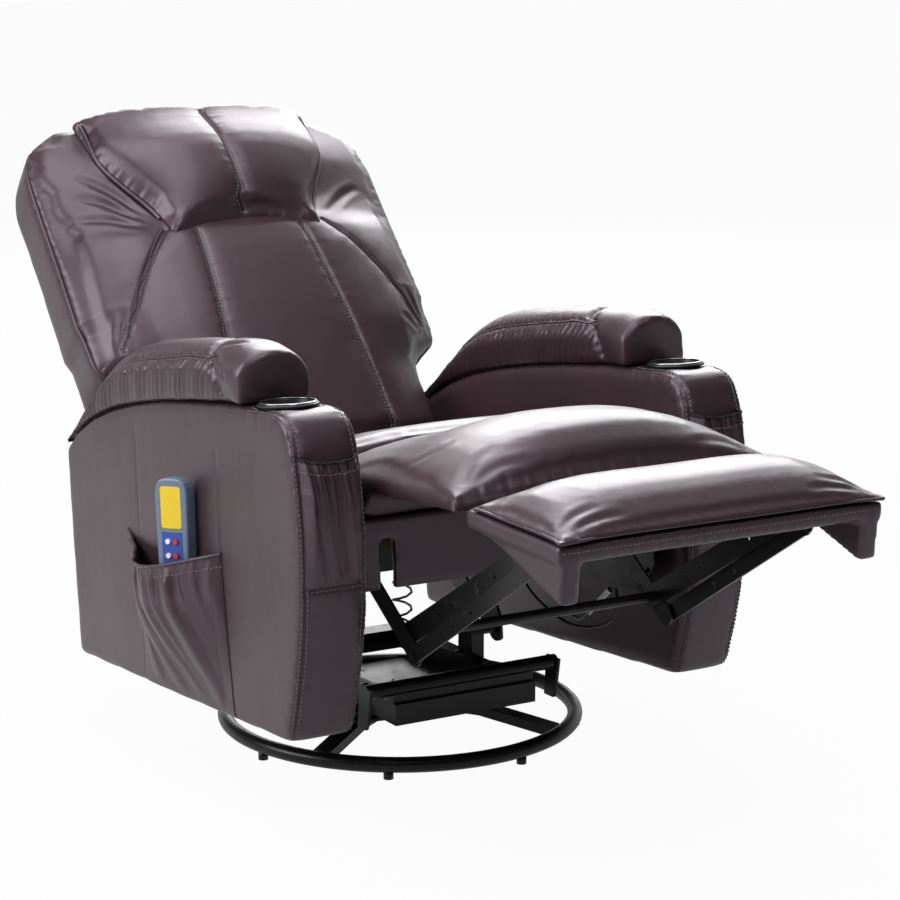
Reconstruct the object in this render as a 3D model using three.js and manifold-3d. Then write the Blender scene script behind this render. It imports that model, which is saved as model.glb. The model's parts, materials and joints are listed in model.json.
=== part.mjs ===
// Swivel rocker recliner with massage motors: a ring base, a rocking upholstered body, a reclining back
// and a footrest on folding links. Millimetres, +Z up, the sitter faces -Y, the sitter's left is +X.
// It is drawn as photographed: footrest out, back reclined, body rocked back on its springs.
import * as THREE from 'three';
import { mergeVertices } from 'three/addons/utils/BufferGeometryUtils.js';
import Module from 'manifold-3d';

const wasm = await Module();
wasm.setup();

const { PI, sin, cos, abs, sign, hypot, atan2 } = Math;
const rad = PI / 180;

// ---------------------------------------------------------------- driving dimensions
const gap = 0.3; // between pieces that touch
const overallWidth = 800; // over the two arms
const armWidth = 111;
const armHalf = overallWidth / 2;
const seatHalf = armHalf - armWidth; // inner face of an arm

const base = { ringRadius: 291, tube: 12.5, foot: 12, glide: 10, turn: -11 * rad, legWidth: 30 };
const leg = { height: 16, top: 63.7 };
const swivel = { plate: 5, lowerWidth: 280, lowerDepth: 280, upperWidth: 300, upperDepth: 260, race: 9 };
const rocker = { halfWidth: 130, halfLength: 213, railHeight: 34, railWidth: 30, tube: 12, tubeHalf: 177 };
const frontTube = { y: -197, z: 141 };
const rock = { angle: 4 * rad, pivotZ: 150, pin: 9, earX: 150, bracketX: 186, sheet: 5 };

const arm = { frontY: -431, rearY: 421, bottomZ: 118, rearTopZ: 474, deckY: -330, deckZ: 606, bow: 0.0007 };
const armPad = { cupGap: 4, overhang: 6, sideHeight: 66, crown: 25, rearHeight: 16 };
const cup = { x: armHalf - 52, y: -312, radius: 40, wall: 2, depth: 72, rim: 6, flangeHeight: 4 };
cup.flange = cup.radius + cup.rim;
armPad.frontY = cup.y + cup.flange + armPad.cupGap;
const frontPocket = { bottomZ: 353, topZ: 541, standOff: 14, sheet: 3, inset: 4 };
const sidePocket = { rearY: 175, frontY: -172, bottomZ: 121, rimZ: 372, sag: 34, lead: 1.2, sheet: 3 };

const seat = { rearY: 190, seamY: -280, frontY: -668, deckZ: 425, deck: 10, underside: 435.5, lip: 476 };
const seatTop = { rear: 462, seam: 545, crown: 588, edge: 503 };
const frame = { rail: 19, frontY: -345, railDepth: 25, rearY: 290, topZ: 424.5, sideBottomZ: 300, railBottomZ: 394 };
const fascia = { y: -360, bottomZ: 326, topZ: 434.7, sheet: 12, slotTopZ: 402 };

const plateSheet = 4.5; // side plates of the mechanism
const plateX = frame.rail + 1.5; // in from the arm's inner face
const link = { sheet: 4, half: 15, pitch: 5, outerX: seatHalf - 57.5, eye: 16, pin: 6, head: 9, headHeight: 2.5, slack: 0.4 };
fascia.slotX = [link.outerX - 20.5, link.outerX + 5.5]; // round the folded links
const kneeTube = 8;
// Pivots of the footrest links, as [y, z] in the body's frame.
const shoulder = [-220, 405];
const knee = [-412, 262];
const toe = [-737, 424]; // front link on the footrest bracket
const heel = [-787, 424]; // control bar on the footrest bracket
const elbowReach = 280; // shoulder to the control bar's lower pivot

const footrest = { rearY: -674, rearZ: 465, length: 232, board: 22, tilt: 5.2 * rad, wing: 26, wingDrop: 58 };
footrest.half = seatHalf - 20;
const footPad = { edge: 12, thick: 30, crown: 30, overhang: 10 };

const back = { hingeY: 235, hingeZ: 420, angle: 52.4 * rad, pin: 8, eye: 20 };
const backPad = { low: 8, lowCorner: 37, high: 775, rear: -168, flare: 241, shoulder: 145 };
backPad.neck = seatHalf - 9;
backPad.wide = armHalf - 50;
const backBoard = { sheet: 12, half: seatHalf - 43, low: 48, high: backPad.high - 75 };
const shell = { depth: 36, half: seatHalf + 11, waist: seatHalf - 7, low: 60, wall: 8, corner: 80 };
shell.high = backPad.high - 30;
const pillow = { height: 256, corner: 26, lowHalf: 148, highHalf: 230, thick: 46 };
pillow.high = backPad.high - 5;
pillow.low = pillow.high - pillow.height;
const motor = { radius: 27, height: 22, lug: 40, seatX: 105, seatY: -40 };

const remote = { width: 60, height: 172, thick: 24, turn: 30 * rad, y: -66, topZ: 480 };
const remoteReach = remote.thick * cos(remote.turn) + remote.width * sin(remote.turn); // out from the arm
remote.x = -armHalf - remoteReach / 2 + 0.7923; // its rounded edge rests on the arm
sidePocket.bulge = remoteReach + 7.2154;

const arcSteps = 5; // straight pieces in a drawn quarter turn

// ---------------------------------------------------------------- finishes
const finishes = {
  leather: { color: 0x4b3c43, roughness: 0.42, metalness: 0 },
  lining: { color: 0x1c1a1e, roughness: 0.9, metalness: 0 },
  steel: { color: 0x0d0d0f, roughness: 0.35, metalness: 0.3 },
  spring: { color: 0x77787c, roughness: 0.35, metalness: 0.9 },
  chrome: { color: 0xd9d9dc, roughness: 0.12, metalness: 1 },
  plastic: { color: 0x141416, roughness: 0.5, metalness: 0 },
  timber: { color: 0x9c7a52, roughness: 0.75, metalness: 0 },
  casing: { color: 0x6c7b8f, roughness: 0.5, metalness: 0 },
  yellow: { color: 0xe5c22f, roughness: 0.45, metalness: 0 },
  blue: { color: 0x2b4c9c, roughness: 0.5, metalness: 0 },
  white: { color: 0xe9e9ea, roughness: 0.5, metalness: 0 },
  red: { color: 0xc02a28, roughness: 0.5, metalness: 0 },
};

// ---------------------------------------------------------------- making and placing
const chair = new THREE.Group();
const body = new THREE.Group(); // everything that rocks
body.position.set(0, 0, rock.pivotZ);
body.rotation.x = -rock.angle;
const bodyFrame = new THREE.Group();
bodyFrame.position.z = -rock.pivotZ;
body.add(bodyFrame);
chair.add(body);

function add(group, name, geometry, finish) {
  const mesh = new THREE.Mesh(geometry, new THREE.MeshStandardMaterial(finishes[finish]));
  mesh.name = name;
  group.add(mesh);
  return mesh;
}

function solid(geometry) {
  const plain = geometry.clone();
  plain.deleteAttribute('normal');
  plain.deleteAttribute('uv');
  const merged = mergeVertices(plain, 1e-4);
  const mesh = { numProp: 3, vertProperties: merged.attributes.position.array, triVerts: merged.index.array };
  mesh.triVerts = Uint32Array.from(mesh.triVerts);
  mesh.vertProperties = Float32Array.from(mesh.vertProperties);
  return new wasm.Manifold(new wasm.Mesh(mesh));
}

function shape(manifold) {
  const mesh = manifold.getMesh();
  const geometry = new THREE.BufferGeometry();
  geometry.setAttribute('position', new THREE.BufferAttribute(Float32Array.from(mesh.vertProperties), 3));
  geometry.setIndex(new THREE.BufferAttribute(Uint32Array.from(mesh.triVerts), 1));
  return geometry;
}

const join = (...geometries) => shape(geometries.map(solid).reduce((a, b) => a.add(b)));
const cut = (geometry, ...tools) => shape(tools.map(solid).reduce((a, b) => a.subtract(b), solid(geometry)));

// The same piece for the other side of the chair.
function mirrored(geometry) {
  const plain = geometry.index ? geometry.toNonIndexed() : geometry.clone();
  plain.deleteAttribute('normal');
  plain.deleteAttribute('uv');
  plain.scale(-1, 1, 1);
  const p = plain.attributes.position.array;
  for (let i = 0; i < p.length; i += 9) {
    for (let k = 0; k < 3; k++) [p[i + 3 + k], p[i + 6 + k]] = [p[i + 6 + k], p[i + 3 + k]];
  }
  return mergeVertices(plain, 1e-4);
}

function pair(group, name, geometry, finish) {
  add(group, `${name}_left`, geometry, finish);
  add(group, `${name}_right`, mirrored(geometry), finish);
}

function box(x0, x1, y0, y1, z0, z1) {
  const geometry = new THREE.BoxGeometry(abs(x1 - x0), abs(y1 - y0), abs(z1 - z0));
  geometry.translate((x0 + x1) / 2, (y0 + y1) / 2, (z0 + z1) / 2);
  return geometry;
}

// A round bar along X at [y, z].
function barX(radius, x0, x1, [y, z], segments = 20) {
  const geometry = new THREE.CylinderGeometry(radius, radius, abs(x1 - x0), segments);
  geometry.rotateZ(PI / 2);
  geometry.translate((x0 + x1) / 2, y, z);
  return geometry;
}

function barZ(radius, z0, z1, x, y, segments = 24, topRadius = radius) {
  const geometry = new THREE.CylinderGeometry(topRadius, radius, z1 - z0, segments);
  geometry.rotateX(PI / 2);
  geometry.translate(x, y, (z0 + z1) / 2);
  return geometry;
}

// A side-view outline in (y, z), thick along X.
const sideView = new THREE.Matrix4().makeBasis(
  new THREE.Vector3(0, 1, 0), new THREE.Vector3(0, 0, 1), new THREE.Vector3(1, 0, 0));
function plate(outline, x0, x1, options = {}) {
  const bevel = options.bevel ?? 0;
  const geometry = new THREE.ExtrudeGeometry(outline, {
    depth: x1 - x0 - 2 * bevel, curveSegments: options.curve ?? arcSteps, bevelEnabled: bevel > 0,
    bevelThickness: bevel, bevelSize: bevel, bevelOffset: -bevel, bevelSegments: 2,
  });
  geometry.applyMatrix4(sideView);
  geometry.translate(x0 + bevel, 0, 0);
  return geometry;
}

function outline(points) {
  const result = new THREE.Shape();
  points.forEach(([a, b], i) => (i ? result.lineTo(a, b) : result.moveTo(a, b)));
  result.closePath();
  return result;
}

// A round hole, drawn the other way round from the sheet's own outline, its flats outside the radius.
function drill(sheet, a, b, radius) {
  const drawn = radius / cos(PI / (2 * arcSteps));
  const ccw = !THREE.ShapeUtils.isClockWise(sheet.getPoints());
  sheet.holes.push(new THREE.Path().absarc(a, b, drawn, 0, 2 * PI, ccw));
}

// A bar with round ends, with a hole of each given [centre, radius].
function linkOutline([ay, az], [by, bz], half, holes = []) {
  const angle = atan2(bz - az, by - ay);
  const result = new THREE.Shape();
  result.absarc(by, bz, half, angle - PI / 2, angle + PI / 2, false);
  result.absarc(ay, az, half, angle + PI / 2, angle + 1.5 * PI, false);
  result.closePath();
  for (const [[y, z], radius] of holes) drill(result, y, z, radius);
  return result;
}

function roundedRectangle(halfWidth, y0, y1, radius) {
  const result = new THREE.Shape();
  result.absarc(halfWidth - radius, y0 + radius, radius, -PI / 2, 0, false);
  result.absarc(halfWidth - radius, y1 - radius, radius, 0, PI / 2, false);
  result.absarc(radius - halfWidth, y1 - radius, radius, PI / 2, PI, false);
  result.absarc(radius - halfWidth, y0 + radius, radius, PI, 1.5 * PI, false);
  result.closePath();
  return result;
}

function flat(outlineShape, z0, z1, curve = arcSteps) {
  const geometry = new THREE.ExtrudeGeometry(outlineShape, {
    depth: z1 - z0, bevelEnabled: false, curveSegments: curve,
  });
  geometry.translate(0, 0, z0);
  return geometry;
}

// A closed pad: an upper and a lower sheet of columns by rows, with a wall round the edge.
// point(u, v, upper) gives the place, u across, v along, upper 1 or 0.
function pad(columns, rows, point) {
  const position = [];
  const index = [];
  const stride = (columns + 1) * (rows + 1);
  for (const upper of [1, 0]) {
    for (let j = 0; j <= rows; j++) {
      for (let i = 0; i <= columns; i++) position.push(...point(i / columns, j / rows, upper));
    }
  }
  const at = (i, j, lower) => lower * stride + j * (columns + 1) + i;
  const quad = (a, b, c, d) => index.push(a, b, c, a, c, d);
  for (let j = 0; j < rows; j++) {
    for (let i = 0; i < columns; i++) {
      quad(at(i, j, 0), at(i + 1, j, 0), at(i + 1, j + 1, 0), at(i, j + 1, 0));
      quad(at(i, j, 1), at(i, j + 1, 1), at(i + 1, j + 1, 1), at(i + 1, j, 1));
    }
    quad(at(0, j, 1), at(0, j, 0), at(0, j + 1, 0), at(0, j + 1, 1));
    quad(at(columns, j, 0), at(columns, j, 1), at(columns, j + 1, 1), at(columns, j + 1, 0));
  }
  for (let i = 0; i < columns; i++) {
    quad(at(i, 0, 1), at(i + 1, 0, 1), at(i + 1, 0, 0), at(i, 0, 0));
    quad(at(i, rows, 0), at(i + 1, rows, 0), at(i + 1, rows, 1), at(i, rows, 1));
  }
  const geometry = new THREE.BufferGeometry();
  geometry.setAttribute('position', new THREE.Float32BufferAttribute(position, 3));
  geometry.setIndex(index);
  return geometry;
}

const mix = (a, b, t) => a + (b - a) * t;
const clamp = (t) => Math.min(1, Math.max(0, t));
const smooth = (t) => clamp(t) ** 2 * (3 - 2 * clamp(t));
const dome = (t, power = 2) => 1 - abs(2 * t - 1) ** power; // 0 at the ends, 1 in the middle
const groove = (distance, width) => Math.exp(-((distance / width) ** 2)); // a sewn channel

// ---------------------------------------------------------------- ring base
const ringZ = base.foot + base.glide + base.tube;
const baseGroup = new THREE.Group();
baseGroup.rotation.z = base.turn;
chair.add(baseGroup);

function ring(tube) {
  const geometry = new THREE.TorusGeometry(base.ringRadius, tube, 8, 40);
  geometry.translate(0, 0, ringZ);
  return geometry;
}

function baseRing() {
  const glides = [];
  for (let k = 0; k < 8; k++) {
    const angle = (k + 0.5) * PI / 4;
    const x = base.ringRadius * cos(angle);
    const y = base.ringRadius * sin(angle);
    glides.push(barZ(8, base.foot, base.foot + base.glide + 4, x, y, 8, 10));
  }
  return join(ring(base.tube), ...glides);
}
add(baseGroup, 'base_ring', baseRing(), 'steel');

// Each leg is a bar that rises from the ring to the swivel plate and down again.
function crossLegs() {
  const reach = base.ringRadius;
  const rise = 150;
  const half = leg.height / 2;
  const bar = outline([
    [-reach, ringZ - half], [-rise, leg.top - leg.height], [rise, leg.top - leg.height],
    [reach, ringZ - half], [reach, ringZ + half], [rise, leg.top], [-rise, leg.top], [-reach, ringZ + half],
  ]);
  const bent = plate(bar, -base.legWidth / 2, base.legWidth / 2);
  const one = bent.clone().rotateZ(PI / 4);
  const other = bent.clone().rotateZ(-PI / 4);
  return cut(join(one, other), ring(base.tube + gap), barZ(16, 0, leg.top + 5, 0, 0));
}
add(baseGroup, 'cross_legs', crossLegs(), 'steel');

const lowerPlateZ = leg.top + gap;
const raceZ = lowerPlateZ + swivel.plate + gap;
const upperPlateZ = raceZ + swivel.race + gap;
const rockerZ = upperPlateZ + swivel.plate + gap;

function swivelPlate(width, depth, z) {
  const sheet = roundedRectangle(width / 2, -depth / 2, depth / 2, 24);
  drill(sheet, 0, 0, 15);
  for (const [sx, sy] of [[1, 1], [1, -1], [-1, 1], [-1, -1]]) {
    drill(sheet, sx * (width / 2 - 22), sy * (depth / 2 - 22), 5);
  }
  return flat(sheet, z, z + swivel.plate);
}
add(baseGroup, 'lower_swivel_plate', swivelPlate(swivel.lowerWidth, swivel.lowerDepth, lowerPlateZ), 'steel');

// The ball race: a hub with a grooved rim, held between the plates.
function ballRace() {
  const low = raceZ;
  const high = raceZ + swivel.race;
  const mid = (low + high) / 2;
  const profile = [
    [0, leg.top - 8], [11, leg.top - 8], [11, low], [92, low], [92, mid - 2], [88, mid], [92, mid + 2],
    [92, high], [11, high], [11, rockerZ + 1], [0, rockerZ + 1],
  ];
  const geometry = new THREE.LatheGeometry(profile.map(([r, z]) => new THREE.Vector2(r, z)), 20);
  geometry.rotateX(PI / 2);
  return geometry;
}
add(baseGroup, 'swivel_race', ballRace(), 'steel');

// ---------------------------------------------------------------- rocker base, turns on the ring base
const rockerTop = rockerZ + rocker.railHeight;

add(chair, 'upper_swivel_plate', swivelPlate(swivel.upperWidth, swivel.upperDepth, upperPlateZ), 'steel');

function rockerBase() {
  const w = rocker.halfWidth;
  const l = rocker.halfLength;
  const parts = [];
  for (const s of [1, -1]) {
    parts.push(box(s * (w - rocker.railWidth), s * w, -l, l, rockerZ, rockerTop));
    // ear with the rocking pivot pin
    const ear = linkOutline([0, rockerZ + 22], [0, rock.pivotZ], 22);
    parts.push(plate(ear, ...(s > 0 ? [rock.earX - 24, rock.earX] : [-rock.earX, 24 - rock.earX])));
    parts.push(barX(rock.pin, s * (rock.earX - 20), s * (rock.bracketX + rock.sheet + 4), [0, rock.pivotZ], 16));
    // end hooks that carry the front tube
    const [x0, x1] = [rocker.tubeHalf - 5, rocker.tubeHalf];
    const hook = outline([
      [frontTube.y - 18, frontTube.z + 8], [frontTube.y + 18, frontTube.z + 8], [frontTube.y + 23, rockerZ - 3],
      [frontTube.y - 3, rockerZ - 3], [frontTube.y - 9, rockerZ + 10],
    ]);
    parts.push(plate(hook, ...(s > 0 ? [x0, x1] : [-x1, -x0])));
  }
  parts.push(box(-w, w, -l, -l + 36, rockerZ, rockerTop), box(-w, w, l - 40, l, rockerZ, rockerTop));
  parts.push(barX(rocker.tube, -rocker.tubeHalf, rocker.tubeHalf, [frontTube.y, frontTube.z], 16));
  parts.push(box(-w, w, frontTube.y - 8, frontTube.y + 8, rockerTop, frontTube.z));
  return cut(join(...parts), barZ(13, 0, rockerTop + 40, 0, 0));
}
add(chair, 'rocker_base', rockerBase(), 'steel');

// A coil spring: one unbroken wire of five-sided section, eight steps to a turn.
const coil = { radius: 17, wire: 2.4, turns: 5, steps: 8, sides: 5, x: 112, y: 188, bottom: rockerTop + gap };
function coilSpring(x, y, bottom, top) {
  const count = coil.turns * coil.steps;
  const position = [];
  const index = [];
  for (let i = 0; i <= count; i++) {
    const angle = (i / coil.steps) * 2 * PI;
    const z = mix(bottom + coil.wire, top - coil.wire, i / count);
    for (let k = 0; k < coil.sides; k++) {
      const turn = (k / coil.sides) * 2 * PI;
      const r = coil.radius + coil.wire * cos(turn);
      position.push(x + r * cos(angle), y + r * sin(angle), z + coil.wire * sin(turn));
    }
  }
  for (let i = 0; i < count; i++) {
    for (let k = 0; k < coil.sides; k++) {
      const a = i * coil.sides + k;
      const b = i * coil.sides + ((k + 1) % coil.sides);
      index.push(a, b + coil.sides, b, a, a + coil.sides, b + coil.sides);
    }
  }
  for (let k = 1; k < coil.sides - 1; k++) {
    index.push(0, k, k + 1);
    const end = count * coil.sides;
    index.push(end, end + k + 1, end + k);
  }
  const geometry = new THREE.BufferGeometry();
  geometry.setAttribute('position', new THREE.Float32BufferAttribute(position, 3));
  geometry.setIndex(index);
  return geometry;
}

// ---------------------------------------------------------------- seat frame and rocking brackets
const railX = seatHalf - gap;
const innerRailX = railX - frame.rail;
const crossRail = { y: 60, depth: 40, bottom: 300, top: 350 };

function seatFrame() {
  const parts = [];
  for (const s of [1, -1]) {
    const rail = outline([
      [fascia.y + gap, 330], [fascia.y + 50, frame.sideBottomZ], [frame.rearY, frame.sideBottomZ],
      [frame.rearY, frame.topZ - 60], [frame.rearY - 80, frame.topZ], [fascia.y + gap, frame.topZ],
    ]);
    parts.push(plate(rail, ...(s > 0 ? [innerRailX, railX] : [-railX, -innerRailX])));
  }
  const across = (y0, y1, z0, z1, half = railX) => box(-half, half, y0, y1, z0, z1);
  return join(
    ...parts,
    across(frame.frontY, frame.frontY + frame.railDepth, frame.railBottomZ, frame.topZ),
    across(fascia.y + gap, frame.frontY + 1, frame.railBottomZ, frame.topZ, 185),
    across(165, 190, frame.railBottomZ, frame.topZ),
    across(crossRail.y, crossRail.y + crossRail.depth, crossRail.bottom, crossRail.top),
    across(frame.rearY - 25, frame.rearY, frame.sideBottomZ, frame.sideBottomZ + 18),
  );
}
add(bodyFrame, 'seat_frame', seatFrame(), 'timber');

// Steel brackets from the seat frame's cross rails down to the rocking pins.
function rockingBracket() {
  const sheet = new THREE.Shape();
  sheet.moveTo(-16, rock.pivotZ + 18);
  sheet.lineTo(crossRail.y, crossRail.bottom - gap);
  sheet.lineTo(frame.rearY - 8, crossRail.bottom - gap);
  sheet.lineTo(frame.rearY - 30, crossRail.bottom - 34);
  sheet.lineTo(24, rock.pivotZ - 4);
  sheet.absarc(0, rock.pivotZ, 24, -0.16, -PI * 0.75, true);
  sheet.closePath();
  drill(sheet, 0, rock.pivotZ, rock.pin + gap);
  for (const t of [0.3, 0.52, 0.74]) drill(sheet, 270 * t, mix(rock.pivotZ + 30, 276, t ** 0.6), 12);
  const web = plate(sheet, rock.bracketX, rock.bracketX + rock.sheet);
  const flange = box(rock.bracketX, rock.bracketX + 34, crossRail.y, frame.rearY - 8,
    crossRail.bottom - gap - rock.sheet, crossRail.bottom - gap);
  const springSeat = box(coil.x - 28, rock.bracketX + 2, coil.y - 28, coil.y + 28,
    crossRail.bottom - gap - rock.sheet, crossRail.bottom - gap);
  return join(web, flange, springSeat);
}
pair(bodyFrame, 'rocking_bracket', rockingBracket(), 'steel');

// The springs stand on the rocker base's rear corners and end under the brackets' spring seats.
const seatUnderside = crossRail.bottom - gap - rock.sheet - rock.pivotZ;
const springTop = rock.pivotZ + (seatUnderside - (coil.y + coil.radius) * sin(rock.angle)) / cos(rock.angle) - 2;
add(chair, 'rocker_spring_left', coilSpring(coil.x, coil.y, coil.bottom, springTop), 'spring');
add(chair, 'rocker_spring_right', coilSpring(-coil.x, coil.y, coil.bottom, springTop), 'spring');

function seatDeck() {
  const half = innerRailX - 4;
  const board = roundedRectangle(half, frame.frontY + 3, seat.rearY, 12);
  for (const s of [1, -1]) drill(board, s * motor.seatX, motor.seatY, motor.radius + 1);
  return flat(board, seat.deckZ, seat.deckZ + seat.deck);
}
add(bodyFrame, 'seat_deck', seatDeck(), 'timber');

// Upholstered strip below the seat, with slots from its lower edge where the links fold in.
function frontFascia() {
  const half = seatHalf - 1.5;
  const sheet = box(-half, half, fascia.y - fascia.sheet, fascia.y, fascia.bottomZ, fascia.topZ);
  const [x0, x1] = fascia.slotX;
  const slots = [[x0, x1], [-x1, -x0]].map(([a, b]) => (
    box(a, b, fascia.y - fascia.sheet - 1, fascia.y + 1, fascia.bottomZ - 1, fascia.slotTopZ)));
  return cut(sheet, ...slots);
}
add(bodyFrame, 'front_fascia', frontFascia(), 'leather');

// ---------------------------------------------------------------- arms
const armBow = (z, offset = 0) => arm.frontY - offset + arm.bow * (z - 415) ** 2;

// Side view of an arm; offset grows the front edge, for what lies on it.
function armOutline(offset = 0) {
  const side = new THREE.Shape();
  side.moveTo(arm.rearY - 8, arm.bottomZ);
  side.lineTo(arm.rearY, arm.rearTopZ);
  side.bezierCurveTo(arm.rearY - 120, 566, 40, arm.deckZ - 8, arm.deckY, arm.deckZ);
  side.bezierCurveTo(arm.deckY - 64, arm.deckZ + 2, armBow(520, offset) + 10, 596, armBow(520, offset), 520);
  for (let z = 490; z > arm.bottomZ; z -= 40) side.lineTo(armBow(z, offset), z);
  side.lineTo(armBow(arm.bottomZ, offset), arm.bottomZ);
  side.closePath();
  return side;
}
// Height of the arm's top at a place along it.
const armTopCurve = new THREE.CubicBezierCurve(
  new THREE.Vector2(arm.rearY, arm.rearTopZ), new THREE.Vector2(arm.rearY - 120, 566),
  new THREE.Vector2(40, arm.deckZ - 8), new THREE.Vector2(arm.deckY, arm.deckZ));
function armTop(y) {
  let low = 0;
  let high = 1;
  for (let i = 0; i < 30; i++) {
    const middle = (low + high) / 2;
    if (armTopCurve.getPoint(middle).x > y) low = middle;
    else high = middle;
  }
  return armTopCurve.getPoint(low).y;
}

function armBox() {
  const whole = plate(armOutline(), seatHalf, armHalf, { bevel: 7, curve: 8 });
  const hole = barZ(cup.radius + 1, armTop(cup.y) - cup.depth - 6, arm.deckZ + 20, cup.x, cup.y);
  return cut(whole, hole);
}
pair(bodyFrame, 'arm', armBox(), 'leather');

// The pad on top: fuller towards the front, drawn in at the sides, thin where it dies away at the rear.
function armCushion() {
  const inner = seatHalf - armPad.overhang;
  const outer = armHalf + armPad.overhang;
  return pad(8, 14, (u, v, upper) => {
    const y = mix(armPad.frontY, arm.rearY + 2, v);
    const taper = smooth((1 - v) / 0.35);
    const floor = armTop(y) + gap + 0.7;
    const pinch = 5 * dome(v, 6) * (upper ? 0 : 1);
    const edge = dome(u, 5);
    const nose = 1 - 0.16 * (1 - smooth(v / 0.08)) * upper;
    const side = mix(armPad.rearHeight, armPad.sideHeight, taper);
    const height = (side * (0.8 + 0.2 * edge) + armPad.crown * taper * dome(u, 2.2)) * nose;
    const bulge = upper ? 4 * dome(v, 4) : -pinch;
    const x = mix(inner - bulge, outer + bulge, u);
    const lead = upper ? -10 * dome(u, 3) * (1 - smooth(v / 0.1)) : 0;
    return [x, y + lead, floor + (upper ? height : 0)];
  });
}
pair(bodyFrame, 'arm_pad', armCushion(), 'leather');

// Cup holder: a thin-walled tub with a wide flange, and a bright ring that lines its mouth.
function cupHolder() {
  const rim = armTop(cup.y) + 1.6;
  const low = rim - cup.depth;
  const r = cup.radius;
  const profile = [
    [0, low], [r - 4, low], [r, low + 4], [r, rim], [cup.flange, rim], [cup.flange, rim + 2.4],
    [cup.flange - 2, rim + cup.flangeHeight], [r - cup.wall, rim + cup.flangeHeight],
    [r - cup.wall, low + 6], [r - cup.wall - 3, low + cup.wall + 1], [0, low + cup.wall + 1],
  ];
  const geometry = new THREE.LatheGeometry(profile.map(([x, z]) => new THREE.Vector2(x, z)), 24);
  geometry.rotateX(PI / 2);
  geometry.translate(cup.x, cup.y, 0);
  return geometry;
}
pair(bodyFrame, 'cup_holder', cupHolder(), 'plastic');

function cupRing() {
  const low = armTop(cup.y) + 1.6 + cup.flangeHeight + gap;
  const profile = [
    [cup.radius - 1.5, low], [cup.radius + 3, low], [cup.radius + 3, low + 1.2], [cup.radius + 1.5, low + 2.2],
    [cup.radius - 1.5, low + 2.2], [cup.radius - 1.5, low],
  ];
  const geometry = new THREE.LatheGeometry(profile.map(([x, z]) => new THREE.Vector2(x, z)), 24);
  geometry.rotateX(PI / 2);
  geometry.translate(cup.x, cup.y, 0);
  return geometry;
}
pair(bodyFrame, 'cup_ring', cupRing(), 'chrome');

// Elastic pocket on an arm's front: a bowed sheet, sewn down at its sides and bottom, open at the top.
function frontPocketSheet() {
  const { bottomZ, topZ, standOff, sheet, inset } = frontPocket;
  const bow = (z) => standOff * sin(PI * clamp((z - bottomZ) / (topZ - bottomZ)) * 0.62) ** 0.7;
  return pad(6, 8, (u, v, outer) => {
    const x = mix(seatHalf + inset, armHalf - inset, u);
    const z = mix(bottomZ, topZ - 7 * dome(u), v);
    const lift = bow(z) * clamp(dome(u, 4) * 1.6);
    return [x, armBow(z) - gap - lift - (outer ? sheet : 0), z];
  });
}
pair(bodyFrame, 'front_pocket', frontPocketSheet(), 'leather');

// Pocket for the hand control on the right arm's outer side, with a sagging elastic rim.
function sidePocketSheet() {
  const { rearY, frontY, bottomZ, rimZ, sag, bulge, lead, sheet } = sidePocket;
  return pad(12, 8, (u, v, outer) => {
    const lean = 22 * (1 - v);
    const y = mix(rearY - 2 * lean, frontY - lean, u);
    const rim = rimZ - sag * sin(PI * u ** 0.8) - 6 * (1 - u);
    const z = mix(bottomZ, rim, v);
    const fold = 1.2 * sin(u * PI * 9) * v * dome(u);
    const belly = sin(PI * u ** lead) ** 1.1; // fullest towards the front, where the hand control stands
    const lift = Math.max(0, bulge * belly * smooth(v / 0.75) + fold);
    return [-armHalf - gap - lift - (outer ? sheet : 0), y, z];
  });
}
add(bodyFrame, 'side_pocket', sidePocketSheet(), 'leather');

// ---------------------------------------------------------------- seat cushions
// Rear part of the seat, up to the seam.
function seatRearPad() {
  return pad(12, 8, (u, v, upper) => {
    const y = mix(seat.seamY + gap, seat.rearY, v);
    const half = seatHalf - 5 - 4 * dome(v);
    const x = mix(-half, half, u);
    const crest = mix(seatTop.seam, seatTop.rear, smooth(v)) - 5 * groove(v, 0.06);
    const across = 1 - mix(0.2, 0.5, v) * abs(2 * u - 1) ** 3;
    const along = 1 - 0.64 * smooth((v - 0.86) / 0.14);
    return [x, y, seat.underside + (upper ? (crest - seat.underside) * across * along : 0)];
  });
}
add(bodyFrame, 'seat_cushion', seatRearPad(), 'leather');

// Front part: a full crowned pad that bridges from the seat to the footrest.
function seatFrontPad() {
  return pad(14, 12, (u, v, upper) => {
    const y = mix(seat.frontY, seat.seamY - gap, v);
    const free = smooth((arm.frontY + 10 - y) / 40);
    const half = seatHalf - 5 + 3 * free - 9 * dome(clamp((seat.seamY - y) / (seat.seamY - seat.frontY)), 2);
    const x = mix(-half, half, u);
    const along = clamp((seat.seamY - y) / 230);
    const crest = mix(seatTop.seam, seatTop.crown, smooth(along));
    const nose = mix(1, 0, (1 - clamp((y - seat.frontY) / 120)) ** 2.6);
    const across = 1 - abs(2 * u - 1) ** 2.6;
    const top = seatTop.edge + (crest - seatTop.edge) * across * nose - 5 * groove(1 - v, 0.05) * across;
    const low = mix(seat.underside, seat.lip, smooth((fascia.y - fascia.sheet - y) / 40));
    return [x, y, upper ? top : low];
  });
}
add(bodyFrame, 'leg_pad', seatFrontPad(), 'leather');

// ---------------------------------------------------------------- footrest mechanism
const kneeAngle = atan2(knee[1] - shoulder[1], knee[0] - shoulder[0]);
const elbow = [shoulder[0] + elbowReach * cos(kneeAngle), shoulder[1] + elbowReach * sin(kneeAngle)];
const barX1 = link.outerX; // outer face of the control bar
const armX1 = barX1 - link.pitch; // outer face of the lift arm and of the bracket
const frontX1 = armX1 - link.pitch; // outer face of the front link

function rivet(x0, x1, place) {
  return barX(link.head, x0, x1, place, 10);
}

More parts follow.
